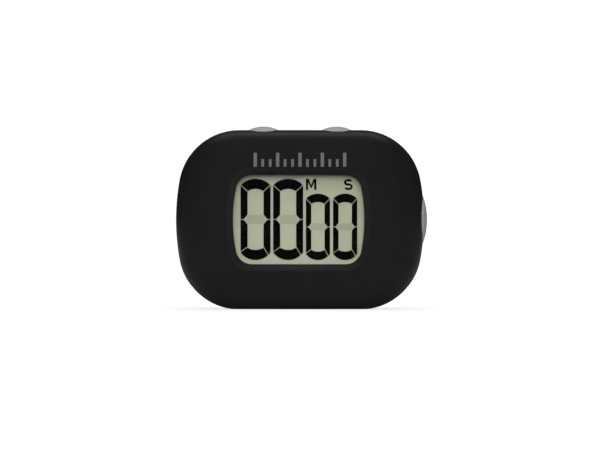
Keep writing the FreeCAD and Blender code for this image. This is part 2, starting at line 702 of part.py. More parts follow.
def circuit_board():
    """Board clamped between the front and rear bosses."""
    body, sketch = new_body("circuit_board", "XZ_Plane")
    height = "(%s - board_bottom)" % BOARD_TOP
    rounded_rectangle(sketch, "body_width - 12.4", height, "8")
    centre = "(%s + board_bottom) / 2" % BOARD_TOP
    for sx in ("-", ""):
        for sz in ("-", "+"):
            circle_at(sketch, "1.1", sx + BOSS_X, "%s %s boss_offset - %s" % (MID, sz, centre))
    pad(body, sketch, "board_thickness")
    return place(body, "0", BOARD_BACK, centre)


def housing_screws():
    """Four pan head screws from the back, through the board, into the front bosses."""
    screws = []
    for index, (sx, sz) in enumerate((("-", "-"), ("", "-"), ("-", "+"), ("", "+"))):
        x, z = sx + BOSS_X, "%s %s boss_offset" % (MID, sz)
        name = "screw_%d" % index
        shank = rod(name + "_shank", "y", "0.8", "2.2 - (%s - 4)" % BOARD_FRONT, x, BOARD_FRONT + " - 4", z)
        head = rod(name + "_head", "y", "1.9", "1.3", x, "2", z)
        slots = [box(name + "_slot_x", span(x, "2.2"), ("2.5", "4"), span(z, "0.44")),
                 box(name + "_slot_z", span(x, "0.44"), ("2.5", "4"), span(z, "2.2"))]
        screws.append(cut(name, fuse(name + "_body", shank, head), *slots))
    group = doc.addObject("Part::Compound", "housing_screws")
    group.Links = screws
    return group


def small_parts(label, spots, size):
    """Group of equal chips on the back of the board: spots are x and z from the case centre."""
    chips = []
    wide, deep, tall = size
    for index, (x, z) in enumerate(spots):
        z_mid = "%s + (%s)" % (MID, z)
        y = (BOARD_BACK, BOARD_BACK + " + " + deep)
        chips.append(box("%s_%d" % (label, index), span(x, wide), y, span(z_mid, tall)))
    group = doc.addObject("Part::Compound", label)
    group.Links = chips
    return group


def board_parts():
    """Components soldered to the back of the board."""
    rise, radius = 1.6, 5.5
    curve = (radius ** 2 + rise ** 2) / (2 * rise)
    ball = doc.addObject("Part::Sphere", "blob_ball")
    bind(ball, Radius="%.4f" % curve)
    place(ball, "0", "%s + %.4f" % (BOARD_BACK, rise - curve), MID + " + 3")
    slab = box("blob_slab", ("-8", "8"), (BOARD_BACK, BOARD_BACK + " + 3"), (MID + " - 6", MID + " + 12"))
    blob = shared("chip_blob", ball, slab)
    can = rod("crystal_can", "z", "1.0", "6", "-12", BOARD_BACK + " + 1.0", MID + " + 1")
    legs = [box("crystal_leg_%d" % i, ("%s" % x, "%s + 0.3" % x), (BOARD_BACK, BOARD_BACK + " + 1.1"),
                (MID + " + 0.4", MID + " + 1.4")) for i, x in enumerate(("-12.7", "-11.6"))]
    crystal = fuse("crystal", can, *legs)
    reservoir = rod("reservoir_body", "y", "2", "5", "15.5", BOARD_BACK + " + 0.2", MID + " - 3")
    foot = box("reservoir_foot", ("13.3", "17.7"), (BOARD_BACK, BOARD_BACK + " + 0.5"),
               span(MID + " - 3", "4.4"))
    package = box("transistor_case", ("8.6", "11.4"), (BOARD_BACK + " + 0.1", BOARD_BACK + " + 1.1"),
                  (MID + " - 4.6", MID + " - 3.3"))
    tabs = []
    for index, (x, low, high) in enumerate((("8.9", "5.2", "4"), ("10.7", "5.2", "4"), ("9.8", "4", "2.7"))):
        tabs.append(box("transistor_leg_%d" % index, (x, x + " + 0.4"), (BOARD_BACK, BOARD_BACK + " + 0.2"),
                        ("%s - %s" % (MID, low), "%s - %s" % (MID, high))))
    transistor = fuse("transistor", package, *tabs)
    drum = [rod("inductor_%s" % part, "y", radius, length, "-17.5", BOARD_BACK + " + " + start, MID + " - 3")
            for part, radius, length, start in (("base", "2.2", "0.8", "0"), ("coil", "1.7", "2.6", "0.7"),
                                                ("cap", "2.2", "0.8", "3.2"))]
    resistor_spots = (("-9", "-4.5"), ("-6.5", "-4.5"), ("-4", "-4.5"), ("4.5", "-4.5"),
                      ("-18.5", "6"), ("18.5", "6"))
    capacitor_spots = (("-1", "-4.5"), ("1.8", "-4.5"), ("-8.8", "4"), ("10", "5"))
    resistors = small_parts("chip_resistors", resistor_spots, ("1.6", "0.5", "0.8"))
    capacitors = small_parts("chip_capacitors", capacitor_spots, ("1.6", "0.8", "0.9"))
    return [blob, crystal, fuse("reservoir_capacitor", reservoir, foot), transistor, fuse("inductor", *drum),
            resistors, capacitors]


# ------------------------------------------------------- buttons and switches

def top_button(label, sign):
    """Domed push button in the top edge, with its retaining flange."""
    x = "%stop_button_pitch / 2" % sign
    post = rod(label + "_post", "z", "top_button_diameter / 2", "12", x, "0", FLANGE_TOP + " - 0.5")
    dome = doc.addObject("Part::Ellipsoid", label + "_dome")
    half = "top_button_diameter / 2"
    bind(dome, Radius1="6.5", Radius2="1.73 * " + half, Radius3="1.67 * " + half)
    place(dome, x, "0", TOP + " + button_rise - 6.5")
    flange = rod(label + "_flange", "z", half + " + flange_border", "flange_thickness", x, "0",
                 FLANGE_TOP + " - flange_thickness")
    skirt = rod(label + "_skirt", "z", half, "1.0", x, "0", FLANGE_TOP + " - 0.5")
    return fuse(label, shared(label + "_cap", post, dome), flange, skirt)


def side_button():
    """Long domed push button in the right side, with its retaining flange."""
    label = "start_stop_button"
    tall, deep = "side_button_length / 2", "side_button_depth / 2"
    start = FLANGE_SIDE + " - 0.5"
    post = oval_rod(label + "_post", "x", tall, deep, "12", start, "0", MID)
    dome = doc.addObject("Part::Ellipsoid", label + "_dome")
    bind(dome, Radius1="1.46 * side_button_length / 2", Radius2="5.2", Radius3="1.56 * side_button_depth / 2")
    place(dome, HALF_W + " + side_rise - 5.2", "0", MID)
    wide = " + flange_border"
    flange = oval_rod(label + "_flange", "x", tall + wide, deep + wide, "flange_thickness",
                      FLANGE_SIDE + " - flange_thickness", "0", MID)
    skirt = oval_rod(label + "_skirt", "x", tall, deep, "1.0", start, "0", MID)
    return fuse(label, shared(label + "_cap", post, dome), flange, skirt)


def top_switch(label, sign):
    """Upright switch under a top button: body on the board and its plunger."""
    x = "%stop_button_pitch / 2" % sign
    z_top = "(%s - flange_thickness - 2.7)" % FLANGE_TOP
    block = box(label + "_block", span(x, "switch_width"), (BOARD_BACK, "2.8"), (z_top + " - 3.6", z_top))
    bore = rod(label + "_bore", "z", "stem_diameter / 2 + 0.05", "2", x, "0", z_top + " - 1.3")
    stem = rod(label + "_stem", "z", "stem_diameter / 2", "3.1", x, "0", z_top + " - 0.4")
    return [cut(label + "_body", block, bore), stem]


def side_switch():
    """Sideways switch under the side button: body on the board and its plunger."""
    label = "start_stop_switch"
    face = "(%s - flange_thickness - 2.4)" % FLANGE_SIDE
    block = box(label + "_block", (face + " - 3.6", face), (BOARD_BACK, "2.8"), span(MID, "switch_width"))
    bore = rod(label + "_bore", "x", "stem_diameter / 2 + 0.05", "2", face + " - 1.3", "0", MID)
    stem = rod(label + "_stem", "x", "stem_diameter / 2", "2.8", face + " - 0.4", "0", MID)
    return [cut(label + "_body", block, bore), stem]


# --------------------------------------------------------------------- power

def battery_door():
    """Door over the cell bay, with a pinned knuckle along its lower edge and a latch finger."""
    reach, low, high = "(tray_length / 2 - 0.3)", HINGE_Z, "(cell_height + 5.4)"
    y_axis = BACK + " - hinge_radius"
    plate = box("door_plate", ("-" + reach, reach), (BACK_INSIDE, BACK), (low, high))
    knuckle = rod("door_knuckle", "x", "hinge_radius", "2 * " + reach, "-" + reach, y_axis, low)
    pins = rod("door_pins", "x", "pin_radius", "2 * %s + 2.2" % reach, "-%s - 1.1" % reach, y_axis, low)
    finger = box("door_finger", ("-3", "3"), (BACK_INSIDE + " - 1.8", BACK_INSIDE),
                 ("cell_height + 4.3", "cell_height + 5.2"))
    grip = box("door_grip", ("-4", "4"), (BACK + " - 0.9", BACK + " + 1"), (high + " - 1.2", high + " + 1"))
    return cut("battery_door", fuse("door_solid", plate, knuckle, pins, finger), grip)


def cell():
    """AAA cell in three pieces, lying along X with its nub to the right."""
    shoulder = NUB_TIP + " - 0.8"
    tail = "(%s - cell_length)" % NUB_TIP
    radius = "cell_diameter / 2"
    where = (CELL_Y, "cell_height")
    jacket = rod("jacket_tube", "x", radius, "cell_length - 0.8", tail, *where)
    recesses = [rod("jacket_front", "x", radius + " - 0.5", "1", shoulder + " - 0.5", *where),
                rod("jacket_back", "x", radius + " - 0.5", "1.4", tail + " - 1", *where)]
    cap_disc = rod("cap_disc", "x", radius + " - 0.6", "0.4", shoulder + " - 0.5", *where)
    cap_nub = rod("cap_nub", "x", "1.9", "1.3", shoulder + " - 0.5", *where)
    cap = fuse("battery_positive_cap", cap_disc, cap_nub)
    base = rod("battery_negative_base", "x", radius + " - 0.6", "0.4", tail, *where)
    return [cut("battery_jacket", jacket, *recesses), cap, base]


def contact_plate(label, x0, x1):
    """Sprung metal plate against an end wall of the cell bay."""
    return box(label, (x0, x1), (CELL_Y + " - 4.6", CELL_Y + " + 4.2"), span("cell_height", "8.8"))


def battery_spring():
    """Conical spring between the negative plate and the cell."""
    body, sketch = new_body("battery_spring", "XZ_Plane")
    circle_at(sketch, "0.25", "3.2", "0.3")
    coil = body.newObject("PartDesign::AdditiveHelix", "spring_coil")
    coil.Profile = sketch
    coil.ReferenceAxis = (sketch, ["V_Axis"])
    coil.Mode = "height-turns-growth"
    bind(coil, Height="tray_length - 0.8 - cell_length - 0.62", Turns="3", Growth="-1.3")
    body.Tip = coil
    body.Placement = FreeCAD.Placement(Vec(), AXIS_TURN["x"])
    return place(body, "-tray_length / 2 + 0.4", CELL_Y, "cell_height")


def wire(label, radius, points, bend):
    """Insulated lead along straight runs joined by arcs."""
    stops = [Vec(*[number(part) for part in point]) for point in points]
    edges, last = [], stops[0]
    for before, here, after in zip(stops, stops[1:], stops[2:]):
        back, on = (before - here).normalize(), (after - here).normalize()
        half = math.acos(max(-1, min(1, back.dot(on)))) / 2
        reach = bend / math.tan(half)
        start, end = here + back * reach, here + on * reach
        inward = (back + on).normalize()
        middle = here + inward * (bend / math.sin(half) - bend)
        edges.append(Part.LineSegment(last, start).toShape())
        edges.append(Part.Arc(start, middle, end).toShape())
        last = end
    edges.append(Part.LineSegment(last, stops[-1]).toShape())
    path = Part.Wire(edges)
    ring = Part.Wire([Part.Circle(stops[0], stops[1] - stops[0], radius).toShape()])
    obj = doc.addObject("Part::Feature", label)
    obj.Shape = path.makePipeShell([ring], True, False)
    return obj


def leads():
    """Leads from the cell contacts and the sounder to the board."""
    pieces = []
    for label, x, depth in (("buzzer_lead_outer", "8.3", " - 0.85"), ("buzzer_lead_inner", "6.1", " - 1.1")):
        points = ((x, BACK_INSIDE + depth, "buzzer_height"), (x, "4.5", "buzzer_height"),
                  (x, "1.5", "buzzer_height - 6"), (x, BOARD_BACK, "buzzer_height - 6"))
        pieces.append(wire(label, 0.35, points, 1.2))
    return pieces


# ------------------------------------------------------- magnets and sounder

def magnets():
    """Two round magnets in cups in the back."""
    return [rod("magnet_" + side, "y", "magnet_diameter / 2", "magnet_thickness", sign + "magnet_spacing / 2",
                BACK + " - magnet_thickness", TOP + " - magnet_drop")
            for side, sign in (("left", "-"), ("right", ""))]


def sounder():
    """Brass disc with its ceramic element, seated on the rear shell."""
    disc_y = BACK_INSIDE + " - 0.85"
    disc = rod("buzzer_disc", "y", "buzzer_diameter / 2", "0.25", "0", disc_y, "buzzer_height")
    element_y = disc_y + " - 0.25"
    element = rod("buzzer_ceramic", "y", "buzzer_diameter / 2 - 3", "0.25", "0", element_y, "buzzer_height")
    return [disc, element]


def build():
    """Every sub-part of the timer, each with its node name as label."""
    parts = [front_shell(), rear_shell(), display_window()]
    parts += display_cell() + display_segments() + [display_holder()] + zebra_strips()
    parts += [circuit_board(), housing_screws()] + board_parts()
    parts += [top_button("minute_button", "-"), top_button("second_button", ""), side_button()]
    parts += top_switch("minute_switch", "-") + top_switch("second_switch", "") + side_switch()
    parts += [battery_door()] + cell() + [battery_spring()]
    parts.append(contact_plate("battery_positive_plate", "tray_length / 2 - 0.4", "tray_length / 2"))
    parts.append(contact_plate("battery_negative_plate", "-tray_length / 2", "-tray_length / 2 + 0.4"))
    return parts + leads() + magnets() + sounder()


def check_and_write(parts):
    """Stop on any faulty object, then write one STEP file for each sub-part."""
    doc.recompute()
    faulty = [obj.Name for obj in doc.Objects if "Invalid" in obj.State or "Error" in obj.State]
    if faulty:
        raise RuntimeError("not built: " + ", ".join(faulty))
    for part in parts:
        if part.Shape.isNull() or not part.Shape.isValid():
            raise RuntimeError("bad shape: " + part.Label)
        print(part.Label, len(part.Shape.Solids), round(part.Shape.Volume, 2))
    for part in parts:
        part.Shape.exportStep("parts/%s.step" % part.Label)


check_and_write(build())
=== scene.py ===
"""Looks of a kitchen timer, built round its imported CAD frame.

Lengths in the classes are millimetres; meshes are written in metres.
+X is right seen from the front, +Y the back, +Z up, with the base at zero.
"""

import logging
import math
from dataclasses import dataclass, field
from enum import Enum
from typing import Callable, Iterable, Sequence

import bmesh
import bpy
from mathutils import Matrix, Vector

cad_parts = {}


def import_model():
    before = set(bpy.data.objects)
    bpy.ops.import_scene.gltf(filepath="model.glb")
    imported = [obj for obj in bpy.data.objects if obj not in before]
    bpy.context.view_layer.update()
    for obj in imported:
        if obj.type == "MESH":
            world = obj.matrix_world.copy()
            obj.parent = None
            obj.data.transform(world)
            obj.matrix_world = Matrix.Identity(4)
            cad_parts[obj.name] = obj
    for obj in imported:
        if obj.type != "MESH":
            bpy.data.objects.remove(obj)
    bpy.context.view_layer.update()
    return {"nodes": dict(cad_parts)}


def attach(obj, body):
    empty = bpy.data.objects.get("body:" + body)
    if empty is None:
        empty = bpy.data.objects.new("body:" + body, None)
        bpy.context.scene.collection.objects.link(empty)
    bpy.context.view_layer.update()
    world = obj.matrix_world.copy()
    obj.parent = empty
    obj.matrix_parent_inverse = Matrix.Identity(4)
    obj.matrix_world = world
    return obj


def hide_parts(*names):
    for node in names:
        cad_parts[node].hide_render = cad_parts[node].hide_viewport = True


LOG = logging.getLogger("kitchen_timer")
MM = 0.001
TOP_BUTTON_X = 11.05
Point = tuple[float, float, float]
Ring = list[Point]
Colour = tuple[float, float, float]


class Tone(Enum):
    """Linear colours of the object's materials."""

    BLACK = (0.0104, 0.0104, 0.0106)
    # Lighter copy of the case black for the window border: painted light falling on the sloping border.
    BORDER = (0.0138, 0.0138, 0.0141)
    GREY = (0.360, 0.365, 0.374)
    PRINT = (0.155, 0.155, 0.158)
    DISPLAY = (0.484, 0.478, 0.364)
    IDLE = (0.398, 0.396, 0.288)
    INK = (0.0008, 0.0008, 0.0009)
    SEAL = (0.110, 0.112, 0.085)
    CLEAR = (0.97, 0.98, 0.97)
    FILM = (0.030, 0.034, 0.020)
    WHITE = (0.72, 0.72, 0.70)
    GREEN = (0.012, 0.085, 0.028)
    NICKEL = (0.56, 0.55, 0.52)
    ZINC = (0.52, 0.52, 0.50)
    BRASS = (0.62, 0.43, 0.17)
    BLUE = (0.020, 0.090, 0.260)
    RED = (0.420, 0.012, 0.010)
    TAN = (0.420, 0.300, 0.170)
    CREAM = (0.600, 0.540, 0.420)
    FLOOR = (0.38, 0.38, 0.38)


# ----------------------------------------------------------------- node help


class NodeKit:
    """Short calls for adding and joining nodes in one tree."""

    def __init__(self, tree: bpy.types.NodeTree) -> None:
        """Take the tree to fill."""
        self.tree = tree

    def add(self, kind: str, **inputs: object) -> bpy.types.Node:
        """Add a node and set its inputs.

        Args:
            kind: node type, such as "ShaderNodeTexNoise".
            inputs: input name (underscores for spaces) to value or output socket.

        Returns:
            The new node.
        """
        node = self.tree.nodes.new(kind)
        for name, value in inputs.items():
            self.put(node, int(name) if name.isdigit() else name.replace("_", " "), value)
        return node

    def put(self, node: bpy.types.Node, name: str | int, value: object) -> None:
        """Set an input of a node to a value, or link a socket to it.

        Args:
            node: node to change.
            name: name or number of the input.
            value: value or output socket.
        """
        socket = node.inputs[name]
        if isinstance(value, bpy.types.NodeSocket):
            self.tree.links.new(value, socket)
        else:
            socket.default_value = value

    def math(self, operation: str, *values: object) -> bpy.types.NodeSocket:
        """Add a math node on numbers or sockets and return its result.

        Args:
            operation: kind of sum, such as "ADD".
            values: numbers or output sockets.

        Returns:
            The result socket.
        """
        node = self.tree.nodes.new("ShaderNodeMath")
        node.operation = operation
        for index, value in enumerate(values):
            self.put(node, index, value)
        return node.outputs[0]

    def remap(
        self, value: object, low: float, high: float, to_low: float = 0.0, to_high: float = 1.0
    ) -> bpy.types.NodeSocket:
        """Add a clamped map range node and return its result."""
        span = {"From_Min": low, "From_Max": high, "To_Min": to_low, "To_Max": to_high}
        return self.add("ShaderNodeMapRange", Value=value, **span).outputs["Result"]

    def bump(self, height: object, strength: float, distance: float) -> bpy.types.NodeSocket:
        """Add a bump node, its distance in millimetres, and return its normal."""
        node = self.add("ShaderNodeBump", Strength=strength, Distance=distance * MM, Height=height)
        return node.outputs[0]

    def blend(self, share: object, first: object, second: object) -> bpy.types.NodeSocket:
        """Mix two colours by a share and return the result.

        Args:
            share: share of the second colour.
            first: colour at 0.
            second: colour at 1.

        Returns:
            The mixed colour's socket.
        """
        node = self.tree.nodes.new("ShaderNodeMix")
        node.data_type = "RGBA"
        self.put(node, 0, share)
        self.put(node, 6, first)
        self.put(node, 7, second)
        return node.outputs[2]


GroupStart = tuple[bpy.types.NodeTree, NodeKit, bpy.types.Node, bpy.types.Node]


def shader_group(name: str, sockets: dict[str, float], outputs: Sequence[str]) -> GroupStart:
    """Start a shared shader group with float inputs and outputs.

    Args:
        name: group name.
        sockets: input names with default values.
        outputs: output names.

    Returns:
        The group, its node kit, and its input and output nodes.
    """
    tree = bpy.data.node_groups.new(name, "ShaderNodeTree")
    for label, value in sockets.items():
        tree.interface.new_socket(label, in_out="INPUT", socket_type="NodeSocketFloat").default_value = value
    for label in outputs:
        tree.interface.new_socket(label, in_out="OUTPUT", socket_type="NodeSocketFloat")
    kit = NodeKit(tree)
    return tree, kit, kit.add("NodeGroupInput"), kit.add("NodeGroupOutput")


class Effects:
    """Shared surface effects, each a node group made once."""

    made: dict[str, bpy.types.NodeTree] = {}

    @classmethod
    def get(cls, name: str) -> bpy.types.NodeTree:
        """Return a group by name, making it on first use.

        Args:
            name: name of the effect.

        Returns:
            The node group.
        """
        if name not in cls.made:
            cls.made[name] = getattr(cls, name)()
        return cls.made[name]

    @staticmethod
    def grain() -> bpy.types.NodeTree:
        """Moulded grain: fine spark texture, slow mottling and faint handling marks.

        Returns:
            The node group.
        """
        inputs = {"Fine": 5200.0, "Slow": 70.0}
        tree, kit, given, result = shader_group("grain", inputs, ("Height", "Mottle", "Smudge"))
        where = kit.add("ShaderNodeTexCoord").outputs["Object"]
        size, slow_size = given.outputs["Fine"], given.outputs["Slow"]
        fine = kit.add("ShaderNodeTexNoise", Vector=where, Scale=size, Detail=2.0, Roughness=0.55)
        cell = kit.add("ShaderNodeTexVoronoi", Vector=where, Scale=kit.math("MULTIPLY", size, 0.6))
        pits, sparks = kit.math("MULTIPLY", fine.outputs[0], 0.7), kit.math("MULTIPLY", cell.outputs[0], 0.3)
        height = kit.math("ADD", pits, sparks)
        slow = kit.add("ShaderNodeTexNoise", Vector=where, Scale=slow_size, Detail=3.0, Roughness=0.5)
        touch_size = kit.math("MULTIPLY", slow_size, 2.6)
        touch = kit.add("ShaderNodeTexNoise", Vector=where, Scale=touch_size, Detail=5.0, Roughness=0.62)
        kit.put(touch, "Distortion", 0.6)
        kit.put(result, "Height", height)
        kit.put(result, "Mottle", kit.remap(slow.outputs[0], 0.3, 0.7))
        kit.put(result, "Smudge", kit.remap(touch.outputs[0], 0.5, 0.72))
        return tree

    @staticmethod
    def streaks() -> bpy.types.NodeTree:
        """Drawn or rolled metal: fine lines along one axis with a little spotting.

        Returns:
            The node group.
        """
        inputs = {"Across": 5000.0, "Along": 160.0}
        tree, kit, given, result = shader_group("streaks", inputs, ("Line", "Spot"))
        where = kit.add("ShaderNodeTexCoord").outputs["Object"]
        parts = kit.add("ShaderNodeSeparateXYZ", Vector=where)
        stretched = kit.add("ShaderNodeCombineXYZ")
        for index, size in enumerate(("Across", "Across", "Along")):
            kit.put(stretched, index, kit.math("MULTIPLY", parts.outputs[index], given.outputs[size]))
        line = kit.add("ShaderNodeTexNoise", Vector=stretched.outputs[0], Scale=1.0, Detail=2.0)
        spot = kit.add("ShaderNodeTexNoise", Vector=where, Scale=420.0, Detail=4.0, Roughness=0.6)
        kit.put(result, "Line", line.outputs[0])
        kit.put(result, "Spot", kit.remap(spot.outputs[0], 0.55, 0.75))
        return tree

    @staticmethod
    def bands() -> bpy.types.NodeTree:
        """Even bands across X, for layered rubber and printed tracks.

        Returns:
            The node group.
        """
        inputs = {"Pitch": 900.0, "Bend": 0.0}
        tree, kit, given, result = shader_group("bands", inputs, ("Band", "Speck"))
        where = kit.add("ShaderNodeTexCoord").outputs["Object"]
        wave = kit.add("ShaderNodeTexWave", Vector=where, Scale=given.outputs["Pitch"])
        kit.put(wave, "Distortion", given.outputs["Bend"])
        speck = kit.add("ShaderNodeTexNoise", Vector=where, Scale=2400.0, Detail=2.0)
        kit.put(result, "Band", kit.remap(wave.outputs[1], 0.42, 0.58))
        kit.put(result, "Speck", speck.outputs[0])
        return tree


# ------------------------------------------------------------------ finishes

GRAIN_DEPTH = 0.03
LINE_DEPTH = 0.02
MATERIALS: dict[str, bpy.types.Material] = {}


@dataclass(frozen=True)
class Finish:
    """A surface finish; subclasses say how its shader is made."""

    name: str
    colour: Colour
    roughness: float = 0.5

    def build(self, kit: NodeKit, shader: bpy.types.Node) -> None:
        """Add this finish's nodes round the principled shader."""
        raise NotImplementedError

    def material(self) -> bpy.types.Material:
        """Return the material of this finish, made on first use.

        Returns:
            The material.
        """
        if self.name not in MATERIALS:
            material = bpy.data.materials.new(self.name)
            material.use_nodes = True
            self.build(NodeKit(material.node_tree), material.node_tree.nodes["Principled BSDF"])
            MATERIALS[self.name] = material
        return MATERIALS[self.name]

    def effect(self, kit: NodeKit, name: str, **inputs: float) -> bpy.types.Node:
        """Place a shared effect with this finish's own values.

        Args:
            kit: node kit of the material.
            name: name of the effect.
            inputs: values of the effect's inputs.

        Returns:
            The group node.
        """
        node = kit.tree.nodes.new("ShaderNodeGroup")
        node.node_tree = Effects.get(name)
        for label, value in inputs.items():
            kit.put(node, label, value)
        return node

    def wash(self, kit: NodeKit, share: object, lift: float) -> bpy.types.NodeSocket:
        """Colour between a darker and a lighter form of this finish's colour.

        Args:
            kit: node kit of the material.
            share: 0 for the darker form, 1 for the lighter.
            lift: how far each form is from the colour.

        Returns:
            The colour's socket.
        """
        dark = tuple(c * (1 - lift) for c in self.colour) + (1.0,)
        light = tuple(min(1.0, c * (1 + lift)) for c in self.colour) + (1.0,)
        return kit.blend(share, dark, light)


@dataclass(frozen=True)
class Moulded(Finish):
    """Injection moulded plastic with spark-eroded grain."""

    fine: float = 5200.0
    bump: float = 0.10
    smudge: float = 0.05
    specular: float = 0.35
    lift: float = 0.06

    def build(self, kit: NodeKit, shader: bpy.types.Node) -> None:
        """Grain in the normal, mottling in the colour and handling marks in the roughness.

        Args:
            kit: node kit of the material.
            shader: its principled shader.
        """
        grain = self.effect(kit, "grain", Fine=self.fine)
        kit.put(shader, "Base Color", self.wash(kit, grain.outputs["Mottle"], self.lift))
        worn = kit.math("MULTIPLY", grain.outputs["Smudge"], -self.smudge)
        kit.put(shader, "Roughness", kit.math("ADD", self.roughness, worn))
        kit.put(shader, "Normal", kit.bump(grain.outputs["Height"], self.bump, GRAIN_DEPTH))
        kit.put(shader, "Specular IOR Level", self.specular)


@dataclass(frozen=True)
class Metal(Finish):
    """Plated, rolled or drawn metal with fine lines and spotting."""

    across: float = 5000.0
    along: float = 160.0
    spotting: float = 0.05

    def build(self, kit: NodeKit, shader: bpy.types.Node) -> None:
        """Lines in roughness and normal, spots in the colour.

        Args:
            kit: node kit of the material.
            shader: its principled shader.
        """
        lines = self.effect(kit, "streaks", Across=self.across, Along=self.along)
        line, polished, drawn = lines.outputs["Line"], self.roughness - 0.07, self.roughness + 0.09
        kit.put(shader, "Base Color", self.wash(kit, lines.outputs["Spot"], -self.spotting))
        kit.put(shader, "Roughness", kit.remap(line, 0.3, 0.7, polished, drawn))
        kit.put(shader, "Normal", kit.bump(line, 0.12, LINE_DEPTH))
        shader.inputs["Metallic"].default_value = 1.0


@dataclass(frozen=True)
class ClearSheet(Finish):
    """Thin clear sheet or film that is seen through, with a gloss and faint smudges."""

    ior: float = 1.49
    smear: float = 0.05

    def build(self, kit: NodeKit, shader: bpy.types.Node) -> None:
        """Slight clouding in the colour and finger smudges in the gloss.

        Args:
            kit: node kit of the material.
            shader: its principled shader.
        """
        grain = self.effect(kit, "grain", Slow=120.0)
        smudge, touched = grain.outputs["Smudge"], self.roughness + self.smear
        kit.put(shader, "Base Color", self.wash(kit, grain.outputs["Mottle"], 0.01))
        kit.put(shader, "Roughness", kit.remap(smudge, 0.0, 1.0, self.roughness, touched))
        kit.put(shader, "IOR", self.ior)
        kit.put(shader, "Transmission Weight", 1.0)


@dataclass(frozen=True)
class TintedFilm(Finish):
    """Thin film laid on glass: a faint tint with no gloss of its own."""

    share: float = 0.03

    def build(self, kit: NodeKit, shader: bpy.types.Node) -> None:
        """Uneven tint in the colour and in how much it covers.

        Args:
            kit: node kit of the material.
            shader: its principled shader.
        """
        grain = self.effect(kit, "grain", Slow=160.0)
        mottle, smudge = grain.outputs["Mottle"], grain.outputs["Smudge"]
        kit.put(shader, "Base Color", self.wash(kit, mottle, 0.10))
        kit.put(shader, "Alpha", kit.remap(mottle, 0.0, 1.0, self.share * 0.9, self.share * 1.1))
        kit.put(shader, "Specular IOR Level", 0.0)
        kit.put(shader, "Roughness", kit.remap(smudge, 0.0, 1.0, self.roughness, self.roughness + 0.1))


@dataclass(frozen=True)
class Banded(Finish):
    """Body with even bands of a second colour, such as layered rubber or a printed sleeve."""

    second: Colour = (0.0, 0.0, 0.0)
    pitch: float = 900.0
    bend: float = 0.0

    def build(self, kit: NodeKit, shader: bpy.types.Node) -> None:
        """Bands in the colour, specks in the roughness.

        Args:
            kit: node kit of the material.
            shader: its principled shader.
        """
        bands = self.effect(kit, "bands", Pitch=self.pitch, Bend=self.bend)
        band, speck = bands.outputs["Band"], bands.outputs["Speck"]
        smoother, rougher = self.roughness - 0.06, self.roughness + 0.08
        kit.put(shader, "Base Color", kit.blend(band, self.colour + (1.0,), self.second + (1.0,)))
        kit.put(shader, "Roughness", kit.remap(speck, 0.3, 0.7, smoother, rougher))
        kit.put(shader, "Normal", kit.bump(band, 0.2, GRAIN_DEPTH))


CASE = Moulded("satin_black_case", Tone.BLACK.value, 0.40, bump=0.16, smudge=0.06, specular=0.22)
# Border finish: real smoother, glossier surface, while its lighter colour is painted light on the slope round
# the window.
BORDER = Moulded("satin_black_border_painted_light", Tone.BORDER.value, 0.38, bump=0.08, smudge=0.04, specular=0.32)
BUTTON = Moulded(
    "satin_grey_button", Tone.GREY.value, 0.42, fine=7000.0, smudge=0.08, specular=0.4, lift=0.04
)
PRINT = Moulded("grey_tick_print", Tone.PRINT.value, 0.55, fine=9000.0, bump=0.15, smudge=0.0, lift=0.08)
PANE = ClearSheet("clear_window_pane", Tone.CLEAR.value, 0.02)
FILM = TintedFilm("polariser_tint", Tone.FILM.value, 0.30, share=0.025)
GLASS = ClearSheet("thin_display_glass", Tone.CLEAR.value, 0.01, ior=1.05, smear=0.01)
LAYER = {"roughness": 0.6, "fine": 9000.0, "smudge": 0.0}
REFLECTOR = Moulded("grey_green_reflector", Tone.DISPLAY.value, specular=0.1, lift=0.015, **LAYER)
IDLE = Moulded("unlit_segment", Tone.IDLE.value, bump=0.05, specular=0.1, lift=0.02, **LAYER)
INK = Moulded("dark_segment", Tone.INK.value, bump=0.05, specular=0.0, lift=0.1, **LAYER)
SEAL = Moulded("edge_sealant", Tone.SEAL.value, 0.4)
WHITE = Moulded("white_holder_plastic", Tone.WHITE.value, 0.5)
ZEBRA = Banded("layered_zebra_rubber", (0.02, 0.02, 0.02), 0.7, second=(0.45, 0.45, 0.43), pitch=1400.0)
BOARD = Banded(
    "green_board_laminate", Tone.GREEN.value, 0.35, second=(0.020, 0.130, 0.045), pitch=260.0, bend=9.0
)
SLEEVE = Banded("printed_cell_jacket", Tone.BLUE.value, 0.28, second=(0.50, 0.50, 0.48), pitch=11.0)
SCREW = Metal("zinc_screw_steel", Tone.ZINC.value, 0.36)
NICKEL = Metal("nickel_plating", Tone.NICKEL.value, 0.26)
MAGNET = Metal("magnet_plating", Tone.NICKEL.value, 0.20, across=900.0, along=900.0, spotting=0.02)
CAN = Metal("bright_metal_can", Tone.NICKEL.value, 0.30)
BRASS = Metal("rolled_sounder_brass", Tone.BRASS.value, 0.32)
EPOXY = Moulded("black_epoxy_blob", (0.006, 0.006, 0.006), 0.18, fine=600.0, bump=0.3, specular=0.5)
DARK = Moulded("component_moulding", (0.016, 0.016, 0.017), 0.45)
STEM = Moulded("switch_stem_plastic", Tone.CREAM.value, 0.45)
CHIP = Moulded("fired_ceramic_chip", Tone.TAN.value, 0.55)
CERAMIC = Moulded("silvered_sounder_ceramic", Tone.CREAM.value, 0.4)
LEAD_RED = Moulded("red_lead_sleeve", Tone.RED.value, 0.4)
LEAD_BLACK = Moulded("black_lead_sleeve", (0.012, 0.012, 0.012), 0.4)


# -------------------------------------------------------------------- meshes


